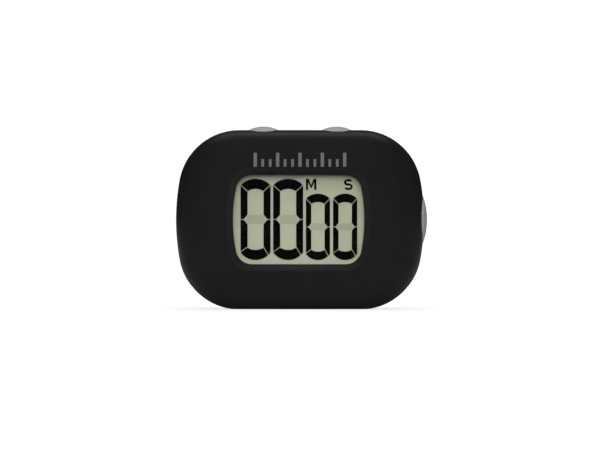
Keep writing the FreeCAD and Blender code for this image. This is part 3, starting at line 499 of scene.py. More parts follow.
def quad_rings(rings: Sequence[Ring], closed: bool = False) -> tuple[Ring, list[list[int]]]:
    """Join rings of equal length with quads.

    Args:
        rings: rings of points, each run the same way round.
        closed: join the last ring to the first; otherwise both ends are capped.

    Returns:
        The points and the faces.
    """
    count = len(rings[0])
    points = [point for ring in rings for point in ring]
    faces = []
    last = len(rings) if closed else len(rings) - 1
    for row in range(last):
        here, there = row * count, (row + 1) % len(rings) * count
        for step in range(count):
            after = (step + 1) % count
            faces.append([here + step, here + after, there + after, there + step])
    if not closed:
        faces.append(list(range(count)))
        faces.append(list(range((len(rings) - 1) * count, len(rings) * count)))
    return points, faces


def mesh_object(
    name: str, points: Iterable[Point], faces: Iterable[Sequence[int]], angle: float = 35.0
) -> bpy.types.Object:
    """Make an object from points in millimetres, with outward faces and smooth shading.

    Args:
        name: object name.
        points: vertices in millimetres.
        faces: vertex indices of each face.
        angle: edges sharper than this stay sharp, in degrees.

    Returns:
        The linked object.
    """
    mesh = bpy.data.meshes.new(name)
    mesh.from_pydata([tuple(c * MM for c in p) for p in points], [], [list(f) for f in faces])
    obj = bpy.data.objects.new(name, mesh)
    bpy.context.collection.objects.link(obj)
    tidy_mesh(obj, angle)
    return obj


def tidy_mesh(obj: bpy.types.Object, angle: float = 35.0) -> None:
    """Weld, turn faces outward and shade smooth up to an angle in degrees.

    Args:
        obj: object to tidy.
        angle: edges sharper than this stay sharp, in degrees.
    """
    work = bmesh.new()
    work.from_mesh(obj.data)
    bmesh.ops.remove_doubles(work, verts=work.verts, dist=1e-7)
    bmesh.ops.recalc_face_normals(work, faces=work.faces)
    for face in work.faces:
        face.smooth = True
    work.to_mesh(obj.data)
    work.free()
    obj.data.set_sharp_from_angle(angle=math.radians(angle))


def bake(obj: bpy.types.Object) -> None:
    """Turn an object's modifiers into a plain mesh.

    Args:
        obj: object to change.
    """
    graph = bpy.context.evaluated_depsgraph_get()
    plain = bpy.data.meshes.new_from_object(obj.evaluated_get(graph))
    obj.modifiers.clear()
    obj.data = plain


def run_tree(obj: bpy.types.Object, tree: bpy.types.NodeTree, sizes: dict[str, float]) -> None:
    """Run a geometry tree on an object and keep the result as a plain mesh.

    Args:
        obj: object to hold the result.
        tree: geometry node tree.
        sizes: value of each named input of the tree.
    """
    step = obj.modifiers.new(tree.name, "NODES")
    step.node_group = tree
    for item in tree.interface.items_tree:
        if item.in_out == "INPUT" and item.name in sizes:
            step[item.identifier] = sizes[item.name]
    bake(obj)


def carve(target: bpy.types.Object, tools: Sequence[bpy.types.Object], operation: str) -> None:
    """Join or cut a target with tools, then remove the tools.

    Args:
        target: object to change.
        tools: closed objects.
        operation: "UNION" or "DIFFERENCE".
    """
    for tool in tools:
        step = target.modifiers.new(tool.name, "BOOLEAN")
        step.operation = operation
        step.object = tool
        step.solver = "EXACT"
        bake(target)
        bpy.data.objects.remove(tool)


class Axis(Enum):
    """Axis of a turned piece."""

    Y = "y"
    Z = "z"
    X = "x"


def turned(
    name: str,
    axis: Axis,
    profile: Sequence[tuple[float, float]],
    centre: Point = (0, 0, 0),
    stretch: tuple[float, float] = (1.0, 1.0),
    steps: int = 64,
) -> bpy.types.Object:
    """Turn a profile of (radius, distance along the axis) into a closed object.

    Args:
        name: object name.
        axis: axis of the piece.
        profile: radius and distance pairs from one end to the other.
        centre: start of the axis.
        stretch: scale of the two directions across the axis.
        steps: points round each ring.

    Returns:
        The object.
    """
    rings: list[Ring] = []
    for radius, along in profile:
        ring = []
        for index in range(steps):
            turn = math.tau * (index + 0.37) / steps
            a, b = radius * stretch[0] * math.cos(turn), radius * stretch[1] * math.sin(turn)
            local = {"y": (a, along, b), "z": (a, b, along), "x": (along, b, a)}[axis.value]
            ring.append(tuple(c + o for c, o in zip(local, centre)))
        rings.append(ring)
    return mesh_object(name, *quad_rings(rings))


def block(name: str, low: Point, high: Point, round_by: float = 0.0, segments: int = 3) -> bpy.types.Object:
    """Box between two corners in millimetres, with rounded edges.

    Args:
        name: object name.
        low: lowest corner.
        high: highest corner.
        round_by: edge rounding, or none.
        segments: faces across each rounding.

    Returns:
        The object.
    """
    xs, ys, zs = zip(low, high)
    points = [(x, y, z) for x in xs for y in ys for z in zs]
    faces = [(0, 1, 3, 2), (4, 6, 7, 5), (0, 4, 5, 1), (2, 3, 7, 6), (0, 2, 6, 4), (1, 5, 7, 3)]
    obj = mesh_object(name, points, faces)
    if round_by:
        edge = obj.modifiers.new("round", "BEVEL")
        edge.width = round_by * MM
        edge.segments = segments
        bake(obj)
        tidy_mesh(obj)
    return obj


@dataclass
class Outline:
    """Outline of straight edges, corner arcs and bowed sides, all tangent."""

    width: float
    height: float
    corner: float
    side: float
    centre: tuple[float, float] = (0.0, 0.0)
    line_steps: int = 26
    corner_steps: int = 26
    side_steps: int = 22

    def stations(self) -> list[tuple[float, float, float, float]]:
        """Points clockwise from the upper left end of the top edge, each with its inward normal.

        Returns:
            X, Z and the normal's X and Z at each station.
        """
        w, h = self.width / 2, self.height / 2
        cz = h - self.corner
        sx = w - self.side
        cx = sx + math.sqrt((self.side - self.corner) ** 2 - cz ** 2)
        turn = math.atan2(cz, cx - sx)
        quarter = math.pi / 2
        found: list[tuple[float, float, float, float]] = []

        def arc(x: float, z: float, radius: float, start: float, end: float, steps: int) -> None:
            """Add the points of one arc, without its last.

            Args:
                x: centre across.
                z: centre up.
                radius: radius.
                start: first angle.
                end: last angle.
                steps: number of points.
            """
            for index in range(steps):
                a = start + (end - start) * index / steps
                found.append((x + radius * math.cos(a), z + radius * math.sin(a), -math.cos(a), -math.sin(a)))

        def line(x1: float, x2: float, z: float, normal: float) -> None:
            """Add the points of one straight edge, without its last."""
            for index in range(self.line_steps):
                found.append((x1 + (x2 - x1) * index / self.line_steps, z, 0.0, normal))

        line(-cx, cx, h, -1.0)
        arc(cx, cz, self.corner, quarter, turn, self.corner_steps)
        arc(sx, 0.0, self.side, turn, -turn, self.side_steps)
        arc(cx, -cz, self.corner, -turn, -quarter, self.corner_steps)
        line(cx, -cx, -h, 1.0)
        arc(-cx, -cz, self.corner, -quarter, -2 * quarter + turn, self.corner_steps)
        arc(-sx, 0.0, self.side, 2 * quarter + turn, 2 * quarter - turn, self.side_steps)
        arc(-cx, cz, self.corner, 2 * quarter - turn, quarter, self.corner_steps)
        return [(x + self.centre[0], z + self.centre[1], nx, nz) for x, z, nx, nz in found]

    def shares(self) -> list[float]:
        """Share of the base rounding at each station: 1 along the base, 0 above the lower corners.

        Returns:
            One share for each station.
        """
        top = self.line_steps + self.corner_steps + self.side_steps
        fall = [index / self.corner_steps for index in range(self.corner_steps)]
        rise = [1 - index / self.corner_steps for index in range(self.corner_steps)]
        tail = [0.0] * (self.side_steps + self.corner_steps)
        return [0.0] * top + fall + [1.0] * self.line_steps + rise + tail


# ---------------------------------------------------------------------- case


@dataclass
class CaseAssembly:
    """Front shell with its window border and openings, printed ticks, display film and battery door."""

    width: float = 75.0
    height: float = 54.16
    depth: float = 25.0
    corner: float = 18.4
    side_bow: float = 68.4
    wall: float = 1.8
    dome_rise: float = 2.7
    front_rim: float = 10.0
    base_rim: float = 4.0
    middle: float = 26.97
    parting: float = 0.12
    groove: float = 0.94
    lip: float = -1.56
    pane_depth: float = 2.6
    pane_thick: float = 1.0
    door_half: float = 24.4
    door_low: float = 9.6
    door_high: float = 18.9
    window: Outline = field(default_factory=lambda: Outline(39.5, 26.8, 4.84, 49.6, (-0.41, 26.97)))

    def __post_init__(self) -> None:
        """Work out the outline and the front dome."""
        self.outline = Outline(self.width, self.height, self.corner, self.side_bow, (0.0, self.middle))
        self.face = -self.depth / 2
        half = self.width / 2
        self.dome = (half ** 2 + self.dome_rise ** 2) / (2 * self.dome_rise)
        self.points = self.outline.stations()
        self.rims = self.outline.shares()

    def skin(self, x: float, z: float, below: float = 0.0) -> float:
        """Return Y of the domed front at a place, or of a surface below it."""
        radius = self.dome - below
        return self.face + self.dome - math.sqrt(radius ** 2 - x ** 2 - (z - self.middle) ** 2)

    def ring(self, inset: float, y: float) -> Ring:
        """Ring of the outline at an inset and a depth, with the base cut flat."""
        return [(x + nx * inset, y, max(0.0, z + nz * inset)) for x, z, nx, nz in self.points]

    def rim_rings(self, rim: float, below: float, steps: int) -> list[Ring]:
        """Rings of the rounding between the side wall and the domed front.

        Args:
            rim: rounding radius away from the base.
            below: distance under the outer surface.
            steps: number of rings, less one.

        Returns:
            Rings from the side wall to the face.
        """
        rings: list[Ring] = []
        for step in range(steps + 1):
            ring: Ring = []
            for (x, z, nx, nz), share in zip(self.points, self.rims):
                radius = rim + (self.base_rim - rim) * share
                cx, cz = x + nx * radius, z + nz * radius
                radius -= below
                cy = self.skin(cx, cz, radius + below)
                away = Vector((cx, cy - self.face - self.dome, cz - self.middle)).normalized()
                out = Vector((-nx, 0.0, -nz))
                direction = out.slerp(away, step / steps) if step else out
                px, py, pz = Vector((cx, cy, cz)) + direction * radius
                ring.append((px, py, max(0.0, pz)))
            rings.append(ring)
        return rings

    def between(self, start: Ring, end: Ring, steps: int, below: float = 0.0) -> list[Ring]:
        """Rings between two rings, without the ends, laid on the dome or a depth below it.

        Args:
            start: first ring.
            end: last ring.
            steps: number of gaps between the two.
            below: depth under the dome.

        Returns:
            The rings between.
        """
        rings = []
        for step in range(1, steps):
            share = step / steps
            ring = []
            for a, b in zip(start, end):
                x, z = a[0] + (b[0] - a[0]) * share, a[2] + (b[2] - a[2]) * share
                ring.append((x, self.skin(x, z, below), z))
            rings.append(ring)
        return rings

    def border(self, grown: float, y: float | None = None) -> Ring:
        """Ring round the window opening, on the skin or at a given depth.

        Args:
            grown: distance outside the opening.
            y: depth of the ring, or none to lay it on the skin.

        Returns:
            The ring.
        """
        ring = []
        for x, z, nx, nz in self.window.stations():
            px, pz = x - nx * grown, z - nz * grown
            ring.append((px, self.skin(px, pz) if y is None else y, pz))
        return ring

    def sill(self) -> list[Ring]:
        """Rings of the sloping border, rounded at its outer edge and at the pane.

        Returns:
            Rings from the face down to the pane.
        """
        floor = self.face + self.pane_depth
        outer, foot, steps = 3.1, 0.10, 12
        slope_start, slope_run, ease = 2.15, 2.05, 0.012
        rings = []
        for step in range(steps + 1):
            share = step / steps
            grown = outer + (foot - outer) * share
            ring = []
            for x, z, nx, nz in self.window.stations():
                px, pz = x - nx * grown, z - nz * grown
                top = self.skin(px, pz)
                fall = max(0.0, (slope_start - grown) / slope_run)
                bend = 0.5 * (fall + math.sqrt(fall * fall + ease)) - 0.5 * math.sqrt(ease) * (1 - share)
                ring.append((px, top + (floor - 0.12 - top) * min(1.0, bend), pz))
            rings.append(ring)
        return rings + [self.border(0.0, floor - 0.02), self.border(0.0, floor)]

    def front(self) -> bpy.types.Object:
        """Build the front shell as one closed ring of quads.

        Returns:
            The shell.
        """
        gap = self.parting
        edge = ((self.groove, -0.02), (gap + 0.06, 0.0), (gap, -0.01), (0.03, -0.09), (0.0, -0.22))
        rings = [self.ring(inset, y) for inset, y in edge]
        rim = self.rim_rings(self.front_rim, 0.0, 18)
        sill = self.sill()
        rings += rim + self.between(rim[-1], sill[0], 10) + sill
        pane, ledge = self.face + self.pane_depth, self.face + self.pane_depth + self.pane_thick
        rings += [self.border(1.9, pane), self.border(1.9, ledge), self.border(3.6, ledge)]
        inner = self.rim_rings(self.front_rim, self.wall, 8)[::-1]
        under = [(x, self.skin(x, z, self.wall), z) for x, _, z in self.border(3.7)]
        rings += [under] + self.between(under, inner[0], 5, self.wall) + inner
        rings += [self.ring(self.wall, self.lip), self.ring(self.groove, self.lip)]
        shell = mesh_object("front_case", *quad_rings(rings, closed=True), angle=32.0)
        carve(shell, self.button_holes(), "DIFFERENCE")
        tidy_mesh(shell, 32.0)
        return shell

    def polish_and_paint_light_on_border(self, shell: bpy.types.Object) -> None:
        """Give the sloping border round the window its smoother finish and a lighter colour, which is painted
        light falling on the slope.

        Args:
            shell: front shell, already dressed.
        """
        shell.data.materials.append(BORDER.material())
        deepest, reach = self.face + 3.0, 2.2
        spots = [(x, z) for x, z, _, _ in self.window.stations()]
        # Faces near the window take the border finish, whose lighter colour paints light onto the slope.
        for face in shell.data.polygons:
            x, y, z = (c / MM for c in face.center)
            if y < deepest and min(math.hypot(x - a, z - b) for a, b in spots) < reach:
                face.material_index = 1

    def button_holes(self) -> list[bpy.types.Object]:
        """Openings for the two top buttons and the side button, each with room for its flange.

        Returns:
            Closed tools to cut with.
        """
        crest, side = self.middle + self.height / 2, self.width / 2
        way, room = ((4.82, crest - 9), (4.82, crest + 4)), ((6.1, crest - 8), (6.1, crest - 3.6))
        tools = []
        for x in (-TOP_BUTTON_X, TOP_BUTTON_X):
            tools.append(turned("button_way", Axis.Z, way, (x, 0, 0)))
            tools.append(turned("button_room", Axis.Z, room, (x, 0, 0)))
        centre = (0, 0, self.middle)
        tools.append(turned("side_way", Axis.X, ((1, side - 8), (1, side + 4)), centre, (7.62, 4.82)))
        tools.append(turned("side_room", Axis.X, ((1, side - 6), (1, side - 3.0)), centre, (8.9, 6.1)))
        return tools

    def mark(self) -> bpy.types.Object:
        """Printed row of plain minute ticks above the window, spaced by geometry nodes.

        Returns:
            The row, laid on the dome.
        """
        thick, foot, sunk = 0.03, -2.1, 0.05
        tick = block("tick_seed", (-0.50, 0.0, foot), (0.50, thick, 2.1))
        small = block("small_tick_seed", (-0.40, 0.0, foot), (0.40, thick, 0.2))
        row = RowOfTicks(count=13, pitch=2.24, height=44.95).build(tick, small)
        for vertex in row.data.vertices:
            x, z = vertex.co.x / MM, vertex.co.z / MM
            behind = sunk if vertex.co.y > thick / 2 * MM else 0.0
            vertex.co.y = (self.skin(x, z) - 0.02 + behind) * MM
        tidy_mesh(row)
        return row

    def film(self) -> bpy.types.Object:
        """Front polariser with softened edges, a hair clear of the glass it lies on.

        Returns:
            The film.
        """
        x, z, across, up, front, back = self.window.centre[0], self.middle, 20.7, 14.35, -8.395, -8.215
        film = block("front_film", (x - across, front, z - up), (x + across, back, z + up), 0.05, 2)
        film.visible_shadow = False
        return film

    def door(self) -> bpy.types.Object:
        """Battery door with rounded edges, knuckle, pins, latch finger and finger scoop.

        Returns:
            The door.
        """
        back, low, high, half = -self.face, self.door_low, self.door_high, self.door_half
        hinge = (0, back - 1.5, low)
        pin = ((0.65, -half - 1.1), (0.8, -half - 0.9), (0.8, half + 0.9), (0.65, half + 1.1))
        plate = block("door", (-half, back - 1.8, low), (half, back, high), 0.25)
        knuckle = turned("knuckle", Axis.X, ((1.5, -half), (1.5, half)), hinge)
        pins = turned("pins", Axis.X, pin, hinge, steps=32)
        finger = block("finger", (-3.0, back - 3.6, high - 1.1), (3.0, back - 1.5, high - 0.2), 0.2)
        carve(plate, [knuckle, pins, finger], "UNION")
        scoop = block("scoop", (-4.0, back - 0.9, high - 1.2), (4.0, back + 1, high + 1))
        carve(plate, [scoop], "DIFFERENCE")
        tidy_mesh(plate, 32.0)
        return plate

    def build(self) -> None:
        """Build and dress every piece of the case."""
        pieces = ((self.front(), "case", "front_shell", CASE), (self.door(), "door", "battery_door", CASE))
        for obj, body, node, finish in pieces:
            show(obj, body, finish, (node,))
        self.polish_and_paint_light_on_border(pieces[0][0])
        marks = self.mark()
        show(marks, "case", PRINT, ())
        show(self.film(), "case", FILM, ("lcd_front_polariser",))


@dataclass
class RowOfTicks:
    """Geometry nodes row of ticks, with a longer one every third place."""

    count: int
    pitch: float
    height: float

    def tree(self, tall: bpy.types.Object, small: bpy.types.Object) -> bpy.types.NodeTree:
        """Node tree that spaces the two seeds along X.

        Args:
            tall: longer tick.
            small: shorter tick.

        Returns:
            The node tree.
        """
        group = bpy.data.node_groups.new("tick_row", "GeometryNodeTree")
        face = group.interface
        face.new_socket("Geometry", in_out="INPUT", socket_type="NodeSocketGeometry")
        face.new_socket("Count", in_out="INPUT", socket_type="NodeSocketInt")
        face.new_socket("Pitch", in_out="INPUT", socket_type="NodeSocketFloat")
        face.new_socket("Height", in_out="INPUT", socket_type="NodeSocketFloat")
        face.new_socket("Geometry", in_out="OUTPUT", socket_type="NodeSocketGeometry")
        kit = NodeKit(group)
        given, result = kit.add("NodeGroupInput"), kit.add("NodeGroupOutput")
        half = kit.math("MULTIPLY", kit.math("SUBTRACT", given.outputs["Count"], 1.0), -0.5)
        left = kit.math("MULTIPLY", half, given.outputs["Pitch"])
        start = kit.add("ShaderNodeCombineXYZ", X=left, Z=given.outputs["Height"])
        step = kit.add("ShaderNodeCombineXYZ", X=given.outputs["Pitch"])
        line = kit.add("GeometryNodeMeshLine", Count=given.outputs["Count"], Offset=step.outputs[0])
        kit.put(line, "Start Location", start.outputs[0])
        remainder = kit.math("MODULO", kit.add("GeometryNodeInputIndex").outputs[0], 3.0)
        third = kit.math("COMPARE", remainder, 0.0, 0.1)
        between = kit.math("GREATER_THAN", remainder, 0.5)
        joined = kit.add("GeometryNodeJoinGeometry")
        for seed, pick in ((tall, third), (small, between)):
            shape = kit.add("GeometryNodeObjectInfo", Object=seed)
            copies = kit.add("GeometryNodeInstanceOnPoints", Points=line.outputs[0], Selection=pick)
            kit.put(copies, "Instance", shape.outputs["Geometry"])
            group.links.new(copies.outputs[0], joined.inputs[0])
        solid = kit.add("GeometryNodeRealizeInstances", Geometry=joined.outputs[0])
        dressed = kit.add("GeometryNodeSetMaterial", Geometry=solid.outputs[0], Material=PRINT.material())
        kit.put(result, "Geometry", dressed.outputs[0])
        return group

    def build(self, tall: bpy.types.Object, small: bpy.types.Object) -> bpy.types.Object:
        """Make the row as a plain mesh and remove the seeds.

        Args:
            tall: longer tick.
            small: shorter tick.

        Returns:
            The row.
        """
        mesh = bpy.data.meshes.new("tick_marks")
        obj = bpy.data.objects.new("tick_marks", mesh)
        bpy.context.collection.objects.link(obj)
        sizes = {"Count": self.count, "Pitch": self.pitch * MM, "Height": self.height * MM}
        run_tree(obj, self.tree(tall, small), sizes)
        for seed in (tall, small):
            bpy.data.objects.remove(seed)
        return obj


# ------------------------------------------------------------------- buttons


@dataclass
class ButtonAssembly:
    """Domed push buttons with soft edges and retaining flanges."""

    crest: float = 54.05
    side: float = 37.5
    middle: float = 26.97
    steps: int = 96

    def cap(
        self,
        name: str,
        axis: Axis,
        half: tuple[float, float],
        dome: tuple[float, float, float],
        top: float,
        centre: Point,
        flange_top: float,
    ) -> bpy.types.Object:
        """Build one button from its pole down to its flange.

        Args:
            name: object name.
            axis: direction of travel.
            half: half sizes across the axis.
            dome: ellipsoid half sizes across and along the axis.
            top: distance of the pole along the axis.
            centre: centre across the axis.
            flange_top: distance of the flange's upper face.

        Returns:
            The object.
        """
        rings: list[Ring] = []
        shares = [0.004] + [index / 14 for index in range(1, 14)] + [0.965, 0.985, 0.996, 1.0]

        def ring(scale: float, along: Callable[[float, float], float], grow: float = 0.0) -> None:
            """Add a ring at a share of the outline.

            Args:
                scale: share of the outline.
                along: distance along the axis at a place across it.
                grow: distance added to the outline.
            """
            found = []
            for index in range(self.steps):
                turn = math.tau * index / self.steps
                a = (half[0] + grow) * scale * math.cos(turn)
                b = (half[1] + grow) * scale * math.sin(turn)
                d = along(a, b)
                local = (a, b, d) if axis is Axis.Z else (d, b, a)
                found.append(tuple(c + o for c, o in zip(local, centre)))
            rings.append(found)

        def surface(a: float, b: float) -> float:
            """Height of the dome."""
            return top - dome[2] * (1 - math.sqrt(max(0.0, 1 - (a / dome[0]) ** 2 - (b / dome[1]) ** 2)))

        drops = {0.965: 0.012, 0.985: 0.05, 0.996: 0.12, 1.0: 0.26}
        for share in shares:
            ring(share, lambda a, b, s=share: surface(a, b) - drops.get(s, 0.0))
        flange = ((1.0, 0.0, 0.0), (1.0, 0.0, 1.0), (1.0, 0.1, 1.1), (1.0, 1.2, 1.1), (0.2, 1.2, 0.0))
        for scale, down, grow in flange:
            ring(scale, lambda a, b, d=flange_top - down: d, grow)
        return mesh_object(name, *quad_rings(rings), angle=40.0)

    def build(self) -> None:
        """Build and dress the three buttons."""
        top, flange_top = self.crest + 1.1, self.crest - 3.7
        round_half, round_dome = (4.7, 4.7), (8.13, 7.85, 6.5)
        long_half, long_dome = (7.5, 4.7), (10.95, 7.33, 5.2)
        for key, x in (("minute", -TOP_BUTTON_X), ("second", TOP_BUTTON_X)):
            cap = self.cap(key + "_button_cap", Axis.Z, round_half, round_dome, top, (x, 0, 0), flange_top)
            show(cap, key + "_key", BUTTON, (key + "_button",))
        top, flange_top = self.side + 0.94, self.side - 3.1
        centre = (0, 0, self.middle)
        cap = self.cap("start_stop_button_cap", Axis.X, long_half, long_dome, top, centre, flange_top)
        show(cap, "start_stop_key", BUTTON, ("start_stop_button",))


# ------------------------------------------------------------- small visible


@dataclass
class FixingAssembly:
    """Screws and magnets in the back."""

    middle: float = 26.97
    screws_across: float = 58.0
    screws_up: float = 27.0
    magnet_x: float = 18.5
    magnet_z: float = 40.05

    def screw_seed(self) -> bpy.types.Object:
        """One pan head screw with a cross recess, its axis along Y at the origin.

        Returns:
            The screw.
        """
        shank = ((0.2, -8.6), (0.8, -7.6), (0.8, 2.0))
        head = ((1.9, 2.0), (1.9, 2.7), (1.72, 3.02), (1.3, 3.22), (0.6, 3.3), (0.02, 3.3))
        screw = turned("screw_seed", Axis.Y, shank + head, steps=48)
        level = block("arm_x", (-1.1, 2.5, -0.2), (1.1, 3.6, 0.2), 0.05, 1)
        upright = block("arm_z", (-0.2, 2.5, -1.1), (0.2, 3.6, 1.1), 0.05, 1)
        carve(screw, [level, upright], "DIFFERENCE")
        tidy_mesh(screw)
        return screw

    def screws(self) -> bpy.types.Object:
        """Four screws placed by geometry nodes, each turned a different way.

        Returns:
            The screws as one plain mesh.
        """
        seed = self.screw_seed()
        group = bpy.data.node_groups.new("four_screws", "GeometryNodeTree")
        face = group.interface
        face.new_socket("Geometry", in_out="INPUT", socket_type="NodeSocketGeometry")
        sizes = {"Across": self.screws_across * MM, "Up": self.screws_up * MM, "Middle": self.middle * MM}
        for label in sizes:
            face.new_socket(label, in_out="INPUT", socket_type="NodeSocketFloat")
        face.new_socket("Geometry", in_out="OUTPUT", socket_type="NodeSocketGeometry")
        kit = NodeKit(group)
        given, result = kit.add("NodeGroupInput"), kit.add("NodeGroupOutput")
        across, up = given.outputs["Across"], given.outputs["Up"]
        grid = kit.add("GeometryNodeMeshGrid", Size_X=across, Size_Y=up, Vertices_X=2, Vertices_Y=2)
        lift = kit.add("ShaderNodeCombineXYZ", Z=given.outputs["Middle"])
        upright = kit.add("GeometryNodeTransform", Geometry=grid.outputs[0], Rotation=(math.pi / 2, 0, 0))
        kit.put(upright, "Translation", lift.outputs[0])
        spin = kit.add("FunctionNodeRandomValue", Seed=4)
        spin.data_type = "FLOAT"
        spin.inputs[3].default_value = math.pi
        turn = kit.add("ShaderNodeCombineXYZ", Y=spin.outputs[1])
        shape = kit.add("GeometryNodeObjectInfo", Object=seed)
        copies = kit.add("GeometryNodeInstanceOnPoints", Points=upright.outputs[0], Rotation=turn.outputs[0])
        kit.put(copies, "Instance", shape.outputs["Geometry"])
        solid = kit.add("GeometryNodeRealizeInstances", Geometry=copies.outputs[0])
        dressed = kit.add("GeometryNodeSetMaterial", Geometry=solid.outputs[0], Material=SCREW.material())
        kit.put(result, "Geometry", dressed.outputs[0])
        obj = bpy.data.objects.new("case_screws", bpy.data.meshes.new("case_screws"))
        bpy.context.collection.objects.link(obj)
        run_tree(obj, group, sizes)
        bpy.data.objects.remove(seed)
        tidy_mesh(obj)
        return obj

    def build(self) -> None:
        """Build and dress the screws and magnets."""
        show(self.screws(), "case", SCREW, ("housing_screws",))
        inside = ((0.02, 10.0), (5.8, 10.0), (6.0, 10.2))
        outside = ((6.0, 12.2), (5.9, 12.38), (5.7, 12.46), (5.2, 12.48), (0.02, 12.48))
        for node, x in (("magnet_left", -self.magnet_x), ("magnet_right", self.magnet_x)):
            disc = turned(node + "_disc", Axis.Y, inside + outside, (x, 0, self.magnet_z), steps=96)
            show(disc, "case", MAGNET, (node,))


# ------------------------------------------------------------- carried over

CARRIED: dict[str, Finish] = {
    "rear_shell": CASE,
    "display_window": PANE, "lcd_front_glass": GLASS, "lcd_rear_glass": REFLECTOR,
    "lcd_edge_seal": SEAL, "lcd_lit_segments": INK, "lcd_idle_segments": IDLE, "lcd_reflector": REFLECTOR,
    "lcd_holder": WHITE, "zebra_strip_upper": ZEBRA, "zebra_strip_lower": ZEBRA, "circuit_board": BOARD,
    "chip_blob": EPOXY, "crystal": CAN, "reservoir_capacitor": CAN, "transistor": DARK, "inductor": DARK,
    "chip_resistors": DARK, "chip_capacitors": CHIP, "minute_switch_body": DARK, "second_switch_body": DARK,
    "start_stop_switch_body": DARK, "minute_switch_stem": STEM, "second_switch_stem": STEM,
    "start_stop_switch_stem": STEM, "battery_jacket": SLEEVE, "battery_positive_cap": NICKEL,
    "battery_negative_base": NICKEL, "battery_spring": NICKEL, "battery_positive_plate": NICKEL,
    "battery_negative_plate": NICKEL, "buzzer_lead_outer": LEAD_RED, "buzzer_lead_inner": LEAD_BLACK,
    "buzzer_disc": BRASS, "buzzer_ceramic": CERAMIC,
}


def dress(obj: bpy.types.Object, finish: Finish) -> None:
    """Give every face of an object one finish.

    Args:
        obj: object to dress.
        finish: its finish.
    """
    if not obj.data.materials:
        obj.data.materials.append(finish.material())
    for slot in obj.material_slots:
        slot.material = finish.material()


def show(obj: bpy.types.Object, body: str, finish: Finish, nodes: Sequence[str]) -> None:
    """Dress a piece, tie it to its moving body and let it stand for CAD nodes.

    Args:
        obj: new piece.
        body: name of the body it rides on.
        finish: its finish.
        nodes: CAD nodes it stands for, or none.
    """
    obj.data.materials.clear()
    dress(obj, finish)
    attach(obj, body)
    if nodes:
        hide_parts(*nodes)
    LOG.info("%s: %d faces, rides on %s", obj.name, len(obj.data.polygons), body)


# -------------------------------------------------------------------- studio


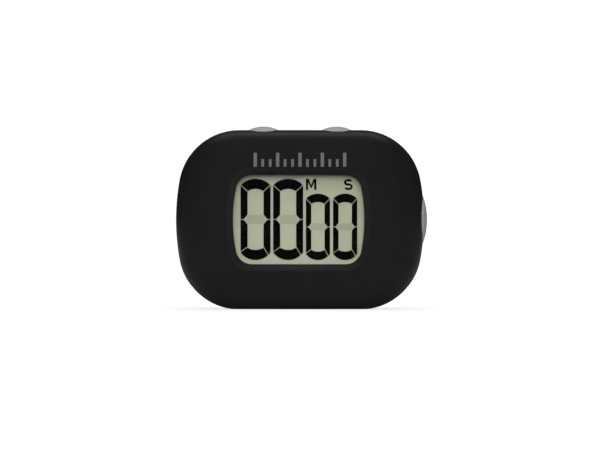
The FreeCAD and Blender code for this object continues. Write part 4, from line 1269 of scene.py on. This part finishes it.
@dataclass
class Studio:
    """Pale floor, soft lights and a long lens straight in front."""

    view_width: float = 181.6
    distance: float = 1600.0
    eye: float = 25.35
    softboxes: tuple[tuple[str, Point, tuple[float, float], float, bool], ...] = (
        ("overhead", (0.0, 240.0, 440.0), (420.0, 160.0), 0.22, True),
        ("front_high", (0.0, -590.0, 270.0), (560.0, 420.0), 2.15, False),
        ("top_front", (0.0, -200.0, 560.0), (420.0, 300.0), 1.45, False),
        ("left_soft", (-560.0, -120.0, 180.0), (300.0, 300.0), 0.85, False),
        ("right_soft", (560.0, -120.0, 180.0), (300.0, 300.0), 0.85, False),
        ("back_soft", (0.0, 600.0, 250.0), (500.0, 300.0), 3.0, False),
    )

    def floor(self) -> None:
        """Add the pale floor."""
        reach, level = 3000.0, -0.05
        corners = ((-reach, -reach), (reach, -reach), (reach, reach), (-reach, reach))
        points = [(x, y, level) for x, y in corners]
        floor = mesh_object("floor", points, [(0, 1, 2, 3)])
        material = bpy.data.materials.new("floor")
        material.use_nodes = True
        kit = NodeKit(material.node_tree)
        shader = material.node_tree.nodes["Principled BSDF"]
        kit.put(shader, "Base Color", Tone.FLOOR.value + (1.0,))
        kit.put(shader, "Roughness", 0.8)
        kit.put(shader, "Emission Color", (1.0, 1.0, 1.0, 1.0))
        where = kit.add("ShaderNodeTexCoord").outputs["Object"]
        away = kit.add("ShaderNodeVectorMath", **{"0": where})
        away.operation = "LENGTH"
        near, far = 60.0 * MM, 260.0 * MM
        glow = kit.remap(away.outputs["Value"], near, far, 0.68, 1.0)
        seen = kit.add("ShaderNodeLightPath").outputs["Is Camera Ray"]
        kit.put(shader, "Emission Strength", kit.math("MULTIPLY", seen, glow))
        floor.data.materials.append(material)

    def world(self) -> None:
        """White to the eye, dimmer as a light."""
        world = bpy.data.worlds.new("studio")
        bpy.context.scene.world = world
        world.use_nodes = True
        kit = NodeKit(world.node_tree)
        shader = world.node_tree.nodes["Background"]
        kit.put(shader, "Color", (1.0, 1.0, 1.0, 1.0))
        seen = kit.add("ShaderNodeLightPath").outputs["Is Camera Ray"]
        lighting, looking = 0.012, 1.05
        kit.put(shader, "Strength", kit.remap(seen, 0.0, 1.0, lighting, looking))

    def light(self, name: str, place: Point, size: tuple[float, float], power: float, mirrored: bool) -> None:
        """Add a soft rectangular light aimed at the timer.

        Args:
            name: light name.
            place: position in millimetres.
            size: width and height in millimetres.
            power: power in watts.
            mirrored: whether glossy surfaces show the light.
        """
        lamp = bpy.data.lights.new(name, "AREA")
        lamp.shape = "RECTANGLE"
        lamp.size, lamp.size_y = size[0] * MM, size[1] * MM
        lamp.energy = power
        obj = bpy.data.objects.new(name, lamp)
        bpy.context.collection.objects.link(obj)
        obj.location = Vector(place) * MM
        obj.visible_glossy = mirrored
        aim = Vector((0.0, 0.0, 27.0)) * MM - obj.location
        obj.rotation_euler = aim.to_track_quat("-Z", "Y").to_euler()

    def camera(self) -> None:
        """Add the camera at the height and distance of the view."""
        data = bpy.data.cameras.new("view")
        data.sensor_width = 36.0
        data.lens = 36.0 * self.distance / self.view_width
        data.clip_end = 50.0
        obj = bpy.data.objects.new("view", data)
        bpy.context.collection.objects.link(obj)
        obj.location = (0.0, -self.distance * MM, self.eye * MM)
        obj.rotation_euler = (math.pi / 2, 0.0, 0.0)
        bpy.context.scene.camera = obj

    def build(self) -> None:
        """Set up the whole studio."""
        self.floor()
        self.world()
        for softbox in self.softboxes:
            self.light(*softbox)
        self.camera()
        bpy.context.scene.view_settings.view_transform = "Standard"


def main() -> None:
    """Build the timer's looks, sub-assembly by sub-assembly."""
    logging.basicConfig(level=logging.INFO, format="%(name)s %(message)s")
    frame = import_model()
    for node, finish in CARRIED.items():
        dress(frame["nodes"][node], finish)
    for node in ("display_window", "lcd_front_glass"):
        frame["nodes"][node].visible_shadow = False
    LOG.info("dressed %d carried pieces", len(CARRIED))
    for assembly in (CaseAssembly(), ButtonAssembly(), FixingAssembly()):
        assembly.build()
    Studio().build()


if __name__ == "__main__":
    main()
